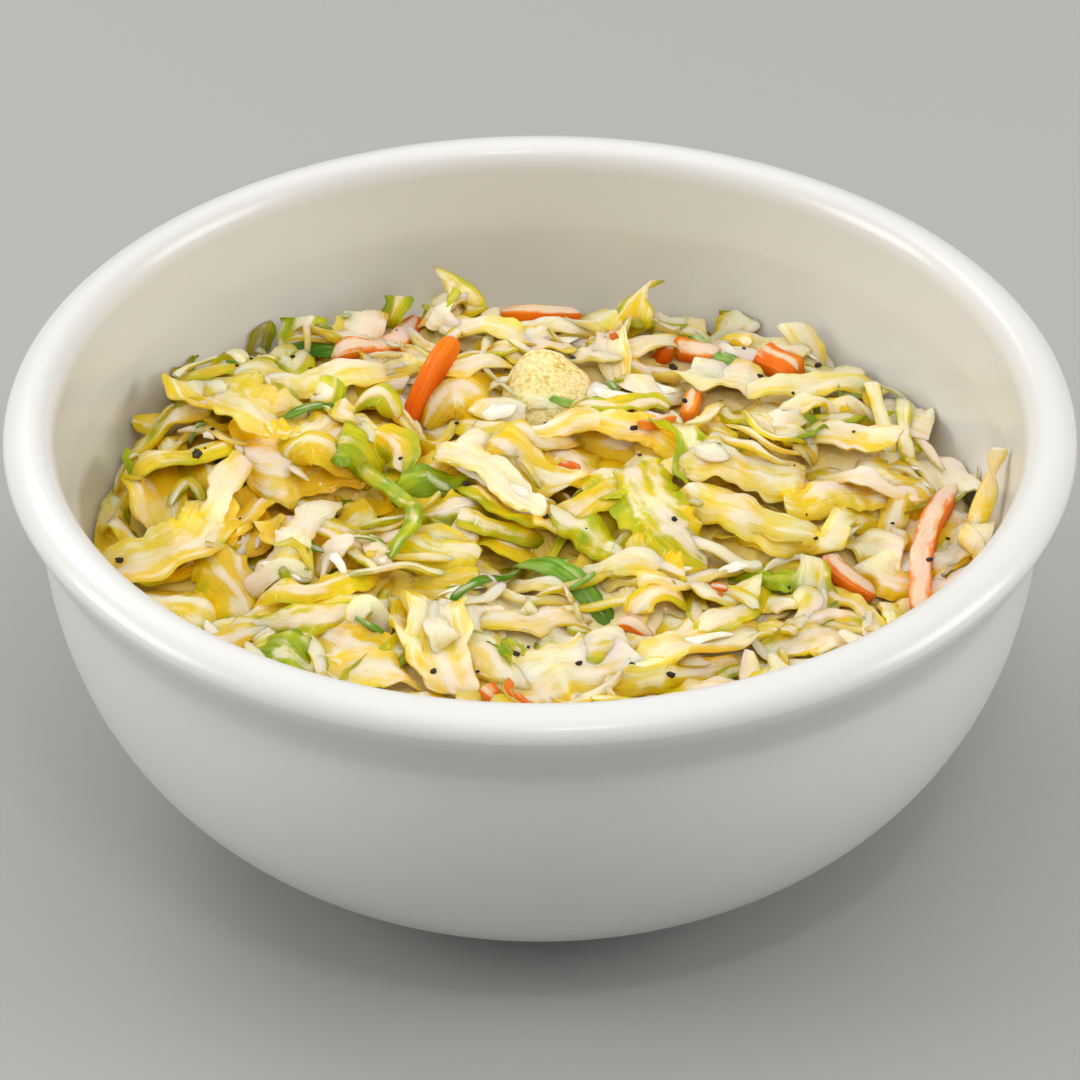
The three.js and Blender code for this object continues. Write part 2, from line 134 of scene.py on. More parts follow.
def arithmetic(nodes, links, operation, *terms):
    # a Math node; each term is a socket or a number
    node = nodes.new("ShaderNodeMath")
    node.operation = operation
    for socket, term in zip(node.inputs, terms):
        if isinstance(term, (int, float)):
            socket.default_value = term
        else:
            links.new(term, socket)
    return node.outputs["Value"]


def ramp(nodes, links, source, stops):
    node = feed(nodes, links, "ValToRGB", "Fac", source)
    elements = node.color_ramp.elements
    while len(elements) < len(stops):
        elements.new(0.5)
    for element, (place, colour) in zip(elements, stops):
        element.position = place
        element.color = (*colour, 1)
    return node.outputs["Color"]


def mixColour(nodes, links, factor, first, second, blend="MIX"):
    # a Mix node; factor is a socket or a number, and first and second are sockets or colours
    node = nodes.new("ShaderNodeMix")
    node.data_type = "RGBA"
    node.blend_type = blend
    if isinstance(factor, float):
        node.inputs["Factor"].default_value = factor
    else:
        links.new(factor, node.inputs["Factor"])
    for key, term in (("A", first), ("B", second)):
        if isinstance(term, tuple):
            node.inputs[key].default_value = (*term, 1)
        else:
            links.new(term, node.inputs[key])
    return node.outputs["Result"]


def addBump(nodes, links, shader, height, strength, distance):
    bump = feed(nodes, links, "Bump", "Height", height, Strength=strength, Distance=distance)
    links.new(bump.outputs["Normal"], shader.inputs["Normal"])


def readAttribute(nodes, name):
    node = nodes.new("ShaderNodeAttribute")
    node.attribute_name = name
    return node.outputs["Fac"]


def cloudyFinish(name, scale, detail, stops, gloss=None, bump=None, grain=None, along=None,
                 burley=False, **inputs):
    # one noise picks the colour along the stops and the roughness; grain names another texture for the
    # bump, and half of the attribute along is added to the noise that picks the colour
    material, nodes, links, shader = newMaterial(name)
    place = nodes.new("ShaderNodeTexCoord").outputs["Object"]
    cloud = feed(nodes, links, "TexNoise", "Vector", place, Scale=scale, Detail=detail).outputs["Fac"]
    shade = cloud
    if along:
        shade = arithmetic(nodes, links, "MULTIPLY_ADD", readAttribute(nodes, along), 0.5, cloud)
    links.new(ramp(nodes, links, shade, stops), shader.inputs["Base Color"])
    if gloss:
        links.new(mapRange(nodes, links, cloud, *gloss), shader.inputs["Roughness"])
    if bump:
        height = cloud
        if grain:
            kind, output, numbers = grain
            height = feed(nodes, links, kind, "Vector", place, **numbers).outputs[output]
        addBump(nodes, links, shader, height, *bump)
    if burley:
        shader.subsurface_method = "BURLEY"
    setInputs(shader, inputs)
    return material


studio = {
    "skyLow": 0.04,
    "skyHigh": 0.90,
    "skyColour": (1.0, 0.99, 0.97),
    "floorSize": 6.0,  # in metres
    "floorColour": (0.38, 0.38, 0.375),
    "floorRoughness": 0.8,
}


def makeStudio(spec):
    # a sky that brightens from the horizon to overhead, over a plain floor
    world = bpy.data.worlds.new("studio")
    world.use_nodes = True
    nodes, links = world.node_tree.nodes, world.node_tree.links
    place = nodes.new("ShaderNodeTexCoord").outputs["Generated"]
    split = feed(nodes, links, "SeparateXYZ", "Vector", place)
    climb = mapRange(nodes, links, split.outputs["Z"], 0.0, 1.0, spec["skyLow"], spec["skyHigh"])
    links.new(climb, nodes["Background"].inputs["Strength"])
    nodes["Background"].inputs["Color"].default_value = (*spec["skyColour"], 1.0)
    bpy.context.scene.world = world
    half = spec["floorSize"] / 2
    corners = [(-half, -half, 0), (half, -half, 0), (half, half, 0), (-half, half, 0)]
    mesh = bpy.data.meshes.new("floor")
    mesh.from_pydata(corners, [], [(0, 1, 2, 3)])
    floor = bpy.data.objects.new("floor", mesh)
    bpy.context.scene.collection.objects.link(floor)
    material, nodes, links, shader = newMaterial("floorPaper")
    setInputs(shader, {"Base Color": (*spec["floorColour"], 1.0), "Roughness": spec["floorRoughness"]})
    mesh.materials.append(material)
    print("studio built")


def addObject(name, mesh, material, node, crisp=None):
    # crisp is the angle between faces past which an edge is shaded sharp
    piece = bpy.data.objects.new(name, mesh)
    bpy.context.scene.collection.objects.link(piece)
    mesh.materials.append(material)
    mesh.shade_smooth()
    if crisp:
        mesh.set_sharp_from_angle(angle=crisp)
    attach(piece, "root")
    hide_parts(node)
    print("made", name, "with", len(mesh.polygons), "faces")


def meshFromQuads(name, points, quads, values, chart):
    # points is (count, 3), quads is (count, 4), and values and chart hold numbers for each point
    mesh = bpy.data.meshes.new(name)
    mesh.vertices.add(len(points))
    mesh.vertices.foreach_set("co", (points * mm).astype(np.float32).ravel())
    mesh.loops.add(quads.size)
    mesh.loops.foreach_set("vertex_index", quads.astype(np.int32).ravel())
    mesh.polygons.add(len(quads))
    mesh.polygons.foreach_set("loop_start", np.arange(0, quads.size, 4, dtype=np.int32))
    mesh.update(calc_edges=True)
    for key, numbers in values.items():
        attribute = mesh.attributes.new(key, "FLOAT", "POINT")
        attribute.data.foreach_set("value", numbers.astype(np.float32))
    layer = mesh.uv_layers.new(name="strip")
    layer.data.foreach_set("uv", chart[quads.ravel()].astype(np.float32).ravel())
    return mesh


def ringFaces(rows, cols):
    # quads between neighbouring rings of points, a fan from the first ring to the point after the rings,
    # and one from the last ring to the point after that
    index = np.arange(rows * cols).reshape(rows, cols)
    after = np.roll(index, -1, axis=1)
    quads = np.stack([index[:-1], after[:-1], after[1:], index[1:]], -1).reshape(-1, 4)
    low = np.stack([np.full(cols, rows * cols), after[0], index[0]], -1)
    high = np.stack([np.full(cols, rows * cols + 1), index[-1], after[-1]], -1)
    return quads.tolist() + low.tolist() + high.tolist()


def meshFromFaces(name, points, faces):
    mesh = bpy.data.meshes.new(name)
    mesh.from_pydata((points * mm).tolist(), [], faces)
    return mesh


bowlSizes = {
    "rimRadius": 70.0,
    "rimLevel": 58.5,
    "crestRadius": 66.0,
    "height": 61.4,
    "bodyRadius": 66.0,
    "creaseLevel": 49.5,  # where the flank ends and the neck under the lip starts
    "bodyDepth": 50.0,
    "flankPower": 2.2,
    "basePower": 3.0,
    "neckOut": 2.9,
    "neckRise": 6.4,
    "neckPower": 1.5,
    "wall": 3.6,
    "flare": 0.1,  # of the wall's inside above the crease
    "floorLevel": 7.0,
    "footRadius": 34.5,
    "footWidth": 5.0,
    "footHeight": 3.0,
    "recessLevel": 1.8,
    # (r, z) of the foot ring, with r from its inner and from its outer radius
    "footInside": [(-1.6, 1.8), (-0.5, 1.3), (0.0, 0.5), (0.7, 0.0), (2.5, 0.0)],
    "footOutside": [(-0.8, 0.0), (-0.1, 0.5), (0.0, 1.2), (-0.2, 2.2)],
    "segments": 192,
}
porcelainSkin = {
    "scale": 30.0,
    "detail": 3.0,
    "stops": [(0.0, (0.725, 0.718, 0.70)), (1.0, (0.765, 0.76, 0.745))],
    "gloss": (0.0, 1.0, 0.26, 0.36),
    "bump": (0.04, 0.0006),
    "grain": ("TexNoise", "Fac", {"Scale": 160.0, "Detail": 1.0}),
    "IOR": 1.5,
    "Coat_Weight": 0.2,
    "Coat_Roughness": 0.14,
}


def flank(radius, depth, drop):
    # radius (1 - (drop / depth)^flankPower)^(1 / basePower)
    share = np.clip(drop / depth, 0.0, 1.0)
    return radius * (1 - share ** bowlSizes["flankPower"]) ** (1 / bowlSizes["basePower"])


def innerRadius(z):
    # the cavity: the flank's curve below the crease, and a slight flare above it
    b = bowlSizes
    radius = b["bodyRadius"] - b["wall"]
    below = flank(radius, b["creaseLevel"] - b["floorLevel"], b["creaseLevel"] - z)
    return np.where(z >= b["creaseLevel"], radius + (z - b["creaseLevel"]) * b["flare"], below)


def bowlProfile(b):
    # (r, z) from the middle of the underside, out over the foot, flank and lip, and in down the cavity
    footIn = b["footRadius"] - b["footWidth"]
    recess = np.array([(0.0, b["recessLevel"]), (footIn * 0.5, b["recessLevel"])])
    inside = np.array(b["footInside"]) + (footIn, 0.0)
    outside = np.array(b["footOutside"]) + (b["footRadius"], 0.0)
    drop = (b["creaseLevel"] - b["footHeight"]) * np.sin(np.linspace(np.pi / 2, 0, 40))
    side = np.stack([flank(b["bodyRadius"], b["bodyDepth"], drop), b["creaseLevel"] - drop], 1)
    climb = np.linspace(0, 1, 9)[1:]
    under = np.stack([b["bodyRadius"] + b["neckOut"] * climb ** b["neckPower"],
                      b["creaseLevel"] + b["neckRise"] * climb], 1)
    quarter = np.linspace(0, np.pi / 2, 10)
    lipOut = b["rimRadius"] - b["crestRadius"]
    rise = b["height"] - b["rimLevel"]
    outer = np.stack([b["crestRadius"] + lipOut * np.cos(quarter), b["rimLevel"] + rise * np.sin(quarter)], 1)
    start = b["rimLevel"] - 1.0
    lipIn = b["crestRadius"] - float(innerRadius(np.array(start)))
    inner = np.stack([b["crestRadius"] - lipIn * np.sin(quarter), start + (rise + 1) * np.cos(quarter)], 1)
    neck = np.linspace(start - 1, b["creaseLevel"] + 0.5, 6)
    down = np.sin(np.linspace(0, np.pi / 2, 34))[:-1]
    levels = np.concatenate([neck, b["creaseLevel"] - (b["creaseLevel"] - b["floorLevel"]) * down])
    cavity = np.stack([innerRadius(levels), levels], 1)
    middle = [(0.0, b["floorLevel"])]
    return np.concatenate([recess, inside, outside, side, under, outer, inner[1:], cavity, middle])


def makeBowl(b):
    # the profile is turned about Z: (r cos t, r sin t, z)
    profile = bowlProfile(b)
    ring = profile[1:-1]
    turn = np.arange(b["segments"]) * 2 * np.pi / b["segments"]
    x, y = ring[:, :1] * np.cos(turn), ring[:, :1] * np.sin(turn)
    z = np.broadcast_to(ring[:, 1:], x.shape)
    ends = [(0, 0, profile[0, 1]), (0, 0, profile[-1, 1])]
    points = np.concatenate([np.stack([x, y, z], -1).reshape(-1, 3), ends])
    mesh = meshFromFaces("porcelainBowl", points, ringFaces(*x.shape))
    addObject("porcelainBowl", mesh, cloudyFinish("porcelain", **porcelainSkin), "bowl")


heap = {
    "radius": 61.0,
    "edgeLevel": 37.0,  # where the salad meets the wall
    "crown": 4.5,  # how much higher its middle is
    "wallGap": 0.45,
    "sightLevel": 40.0,  # rows of large pieces are read on this level, as the camera sees it
    "mounds": [  # x, y, height, spread
        (-46, 14, 3.0, 9), (-12, 38, 2.4, 11), (28, 16, 3.2, 10), (16, 2, 2.2, 8), (-30, 22, 2.2, 8),
        (-26, -12, 1.6, 9), (-22, 4, -4.5, 4), (-37, 4, -3.2, 4), (-14, 23, -3.6, 4), (6, 9, -2.6, 5),
        (41, 15, -2.6, 4), (2, -16, -3.4, 11), (34, -18, -2.0, 8), (-58, 12, 2.5, 9), (-50, 32, 4.5, 9),
        (-36, 46, 3.0, 8), (42, 40, 2.0, 9),
    ],
    "start": 6.5,  # the laying starts this far below the form
    "stack": 1.7,  # shreds sink into what stands more than this above the form
    "cell": 0.5,  # of the height map
    "mapHalf": 64.0,
}


def heapHeight(x, y):
    # a flat dome plus Gaussian mounds and hollows
    share = np.clip(np.hypot(x, y) / heap["radius"], 0, 1)
    z = heap["edgeLevel"] + heap["crown"] * (1 - share**2)
    for cx, cy, height, spread in heap["mounds"]:
        z = z + height * np.exp(-((x - cx) ** 2 + (y - cy) ** 2) / (2 * spread**2))
    return z


mapSide = int(2 * heap["mapHalf"] / heap["cell"]) + 1
mapAxis = np.linspace(-heap["mapHalf"], heap["mapHalf"], mapSide)
mapX, mapY = np.meshgrid(mapAxis, mapAxis)
heapTarget = heapHeight(mapX, mapY)
heapMap = heapTarget - heap["start"]  # how high the salad is so far


def cellOf(x, y):
    # the row and column of the map's cell nearest to (x, y)
    i, j = (np.rint((np.asarray(w) + heap["mapHalf"]) / heap["cell"]).astype(int) for w in (x, y))
    return np.clip(j, 0, mapSide - 1), np.clip(i, 0, mapSide - 1)


# rib and edge are thicknesses in the middle and at the sides, ragged and taper are shares of the width,
# blunt is the power of the taper, slant cuts the ends askew, and pitch is the distance between creases
formNumbers = ("rib", "edge", "ragged", "taper", "blunt", "slant", "ruffle", "crumple", "pitch", "ripple",
               "wander", "across")
forms = {
    "ribbon": (1.0, 0.3, 0.13, 0.45, 6, 0.5, 0.35, 0.28, 3.2, 0.4, 0.7, 0.15),
    "leafy": (0.7, 0.2, 0.12, 0.45, 5, 0.6, 0.7, 0.42, 4.2, 0.45, 0.5, 0.35),
    "thread": (0.6, 0.4, 0.06, 0.4, 6, 0.0, 0.1, 0.05, 3.0, 0.3, 0.6, 0.2),
    "chunk": (1.3, 0.5, 0.1, 0.4, 4, 0.3, 0.2, 0.3, 2.2, 0.15, 0.3, 0.2),
    "stick": (2.6, 2.2, 0.05, 0.55, 14, 0.0, 0.0, 0.06, 2.0, 0.1, 0.15, 0.2),
    "drip": (0.5, 0.04, 0.2, 0.8, 2.5, 0.0, 0.05, 0.06, 3.0, 0.1, 0.5, 1.0),
    "sliver": (0.45, 0.22, 0.06, 0.6, 4, 0.6, 0.12, 0.1, 1.6, 0.15, 0.3, 0.15),
}
plainShred = {
    "arch": 0.0,  # how far its middle rises
    "lift": 0.0,  # how far its far end rises, by the power steepen
    "steepen": 1.5,
    "roll": 0.0,  # its turn about its middle line, and how that changes along it
    "twist": 0.0,
    "cup": 0.3,  # half the angle of the arc across it
    "perch": 0.25,  # how far it keeps above what would poke through
    "point": 0.5,  # how much thinner its ends are
    "tone": 0.3,  # its place on the colour ramp, and how that changes along and across it
    "toneRun": 0.0,
    "toneAcross": 0.0,
    "film": 0.5,  # how much dressing clings to it, and how much more to its middle
    "core": 0.0,
    "seen": None,  # its points as read on sightLevel
}
resting = {
    "samples": 15,
    "reach": 0.35,  # of the width, to the sides where the ground is felt
    "leanMost": 0.5,
    "leanShare": 0.8,
    "cubicFrom": 13,  # shorter ones follow a parabola
    "clearance": 0.1,
    "liftedFrom": 2,  # a shred with more lift stands on its near end
    "liftedSamples": 5,
    "liftedFloor": 1.0,  # and that is no lower than this under the form
    "sink": {"carrot": 3.0},
    "plainSink": 0.4,
    "sightRounds": 4,
}


def newShred(kind, form, path, width, **more):
    # one shred whose middle line passes through three points in plan: its form's numbers, then its own
    shred = dict(plainShred, kind=kind, form=form, path=np.array(path, float), width=width)
    shred.update(zip(formNumbers, forms[form]))
    shred.update(more)
    return shred


def middleLine(shred, u):
    # the parabola m + u (b - a) / 2 + u^2 ((a + b) / 2 - m), with a slow wander to its sides
    a, m, b = shred["path"]
    run, sag = (b - a) / 2, (a + b) / 2 - m
    tx, ty = run[0] + 2 * u * sag[0], run[1] + 2 * u * sag[1]
    size = np.hypot(tx, ty)
    sx, sy = -ty / size, tx / size
    swing = shred["wander"] * min(1.0, shred["length"] / 18)
    swing = swing * np.sin(2.6 * u + shred["phase"]) * (1 - 0.5 * u**2)
    x = m[0] + u * run[0] + u**2 * sag[0] + sx * swing
    y = m[1] + u * run[1] + u**2 * sag[1] + sy * swing
    return x, y, sx, sy


def restShred(shred):
    # the curve along u nearest to what lies under the shred, raised where that pokes through
    a, m, b = shred["path"]
    shred["length"] = float(np.hypot(*(m - a)) + np.hypot(*(b - m)))
    u = np.linspace(-1, 1, resting["samples"])
    x, y, sx, sy = middleLine(shred, u)
    reach = shred["width"] * resting["reach"]
    ground = np.minimum(heapMap, heapTarget + heap["stack"])
    middle = ground[cellOf(x, y)]
    left = ground[cellOf(x + sx * reach, y + sy * reach)]
    right = ground[cellOf(x - sx * reach, y - sy * reach)]
    under = np.maximum(middle, (left + right) / 2)
    if shred["lift"] > resting["liftedFrom"]:  # in the salad that fills up the wall's corner
        near = np.maximum(under, heapTarget[cellOf(x, y)] - resting["liftedFloor"])
        near = near[:resting["liftedSamples"]].mean()
        shred["rest"] = np.array([near - resting["sink"].get(shred["kind"], resting["plainSink"])])
        shred["lie"] = 0.0
        return
    lie = np.mean(np.arctan2(left - right, 2 * reach))
    lie = float(np.clip(lie, -resting["leanMost"], resting["leanMost"]))
    curve = np.polyfit(u, under, 3 if shred["length"] > resting["cubicFrom"] else 2)
    curve[-1] += np.max(under - np.polyval(curve, u)) * shred["perch"] + resting["clearance"]
    shred["rest"], shred["lie"] = curve, lie * resting["leanShare"]


def downSight(seen, height):
    # points read on sightLevel move along their lines of sight:
    # p + (eye - p) (height - sightLevel) / (eyeHeight - sightLevel)
    eye = eyePlace()
    share = np.atleast_1d((height - heap["sightLevel"]) / (eye[2] - heap["sightLevel"]))
    return seen + (eye[:2] - seen) * share[:, None]


def middleHeight(shred, u):
    # rest(u) + arch (1 - u^2) + lift ((u + 1) / 2)^steepen
    climb = np.clip((u + 1) / 2, 0, None) ** shred["steepen"]
    return np.polyval(shred["rest"], u) + shred["arch"] * (1 - u**2) + shred["lift"] * climb


def edgeWaver(shred, s, side, row):
    # three sines of falling size along the shred, different on its two edges
    n = shred["chance"][row]
    shift = np.where(side >= 0, n[0], n[1])
    slow = np.sin(s * 2 * np.pi / (9 + 3 * n[2]) + shift * 6.3)
    quick = np.sin(s * 2 * np.pi / (4.2 + n[3]) + shift * 17)
    fine = np.sin(s * 2 * np.pi / (2.4 + 0.5 * n[4]) + shift * 29)
    return (slow + 0.6 * quick + 0.4 * fine) / 1.4


def creases(shred, s, t):
    # ridges with sharp crests: (1 - |sin|)^1.3 of three skewed directions, the first along the shred
    total = 0
    for k, weight in enumerate((1.0, shred["across"], shred["across"] * 0.8)):
        n = shred["chance"][k + 2]
        skew = (n[0] - 0.5) * 0.5 if k == 0 else (0.5 + n[0]) * (1 if k == 1 else -1)
        turn = np.pi / 2 + skew
        run = (s * np.cos(turn) + t * np.sin(turn)) / (shred["pitch"] * (0.8 + 0.5 * n[1]))
        bend = 0.5 * np.sin(s * 0.3 + n[2] * 6.3) + 0.3 * np.sin(t * 0.8 + s * 0.5 + n[3] * 6.3)
        total = total + weight * ((1 - np.abs(np.sin(np.pi * (run + n[4]) + bend))) ** 1.3 - 0.3)
    return total


def shredPoint(shred, u, v, out):
    # u runs along the shred, v across it, and out is the distance off its middle skin: the section is an
    # arc of angle cup, rolled about the middle line, with ruffled edges, creases and slow ripples
    half = shred["length"] / 2
    side = np.where(v >= 0, 1.0, -1.0)
    x, y, sx, sy = middleLine(shred, u)
    ends = 1 - shred["taper"] * np.abs(u) ** shred["blunt"]
    halfWidth = shred["width"] / 2 * ends * (1 + shred["ragged"] * edgeWaver(shred, u * half, side, 0))
    s, t = u * half, v * halfWidth
    wave = shred["ruffle"] * np.abs(v) ** 1.7 * edgeWaver(shred, s, side, 1)
    wave = wave + shred["crumple"] * creases(shred, s, t)
    wave = wave + shred["ripple"] * np.sin(s * 2 * np.pi / (8 + 4 * shred["chance"][5][0]) + shred["phase"])
    bend = max(abs(shred["cup"]), 0.02) * (1 if shred["cup"] >= 0 else -1)
    reach = halfWidth / bend + out + wave
    across = reach * np.sin(bend * v)
    above = reach * np.cos(bend * v) - halfWidth / bend
    roll = shred["roll"] + shred["lie"] + shred["twist"] * u
    sideways = across * np.cos(roll) - above * np.sin(roll)
    up = across * np.sin(roll) + above * np.cos(roll)
    climb = (middleHeight(shred, u + 0.02) - middleHeight(shred, u - 0.02)) / 0.04
    slope = np.arctan(climb / half)
    z = middleHeight(shred, u) + up * np.cos(slope)
    skew = shred["slant"] * t * np.abs(u) ** 3 * shred["lean"] - up * np.sin(slope)
    px, py = x + sx * sideways + sy * skew, y + sy * sideways - sx * skew
    limit = innerRadius(np.maximum(z, bowlSizes["floorLevel"] + 1)) - heap["wallGap"]
    inward = np.minimum(1, limit / np.maximum(np.hypot(px, py), 1e-6))
    return np.stack([px * inward, py * inward, z], -1)


def thicknessOf(shred, u, v):
    # rib in the middle, thinning to edge, and less at the ends: (edge + (rib - edge)(1 - v^2))(1 - point u^8)
    return (shred["edge"] + (shred["rib"] - shred["edge"]) * (1 - v**2)) * (1 - shred["point"] * u**8)


def raiseMap(shred):
    # the map's cells rise to the shred's top skin, felt on a grid of 70 by 24 points
    u, v = np.meshgrid(np.linspace(-1, 1, 70), np.linspace(-1, 1, 24), indexing="ij")
    p = shredPoint(shred, u, v, thicknessOf(shred, u, v) / 2).reshape(-1, 3)
    np.maximum.at(heapMap, cellOf(p[:, 0], p[:, 1]), p[:, 2])


def finishShred(shred, rng):
    # its own waver, creases and slanted cut, then its place on what lies below
    shred["phase"] = rng.uniform(0, 2 * np.pi)
    shred["lean"] = rng.choice([-1.0, 1.0])
    shred["chance"] = rng.uniform(0, 1, (6, 5))
    restShred(shred)
    for _ in range(resting["sightRounds"] if shred["seen"] is not None else 0):
        shred["path"] = downSight(shred["seen"], middleHeight(shred, np.array([-1.0, 0.0, 1.0])))
        restShred(shred)
    raiseMap(shred)
    return shred


tones = {
    "white": 0.02,
    "cream": 0.12,
    "tan": 0.27,
    "gold": 0.42,
    "olive": 0.52,
    "lime": 0.63,
    "leaf": 0.8,
    "pale": 0.62,
}

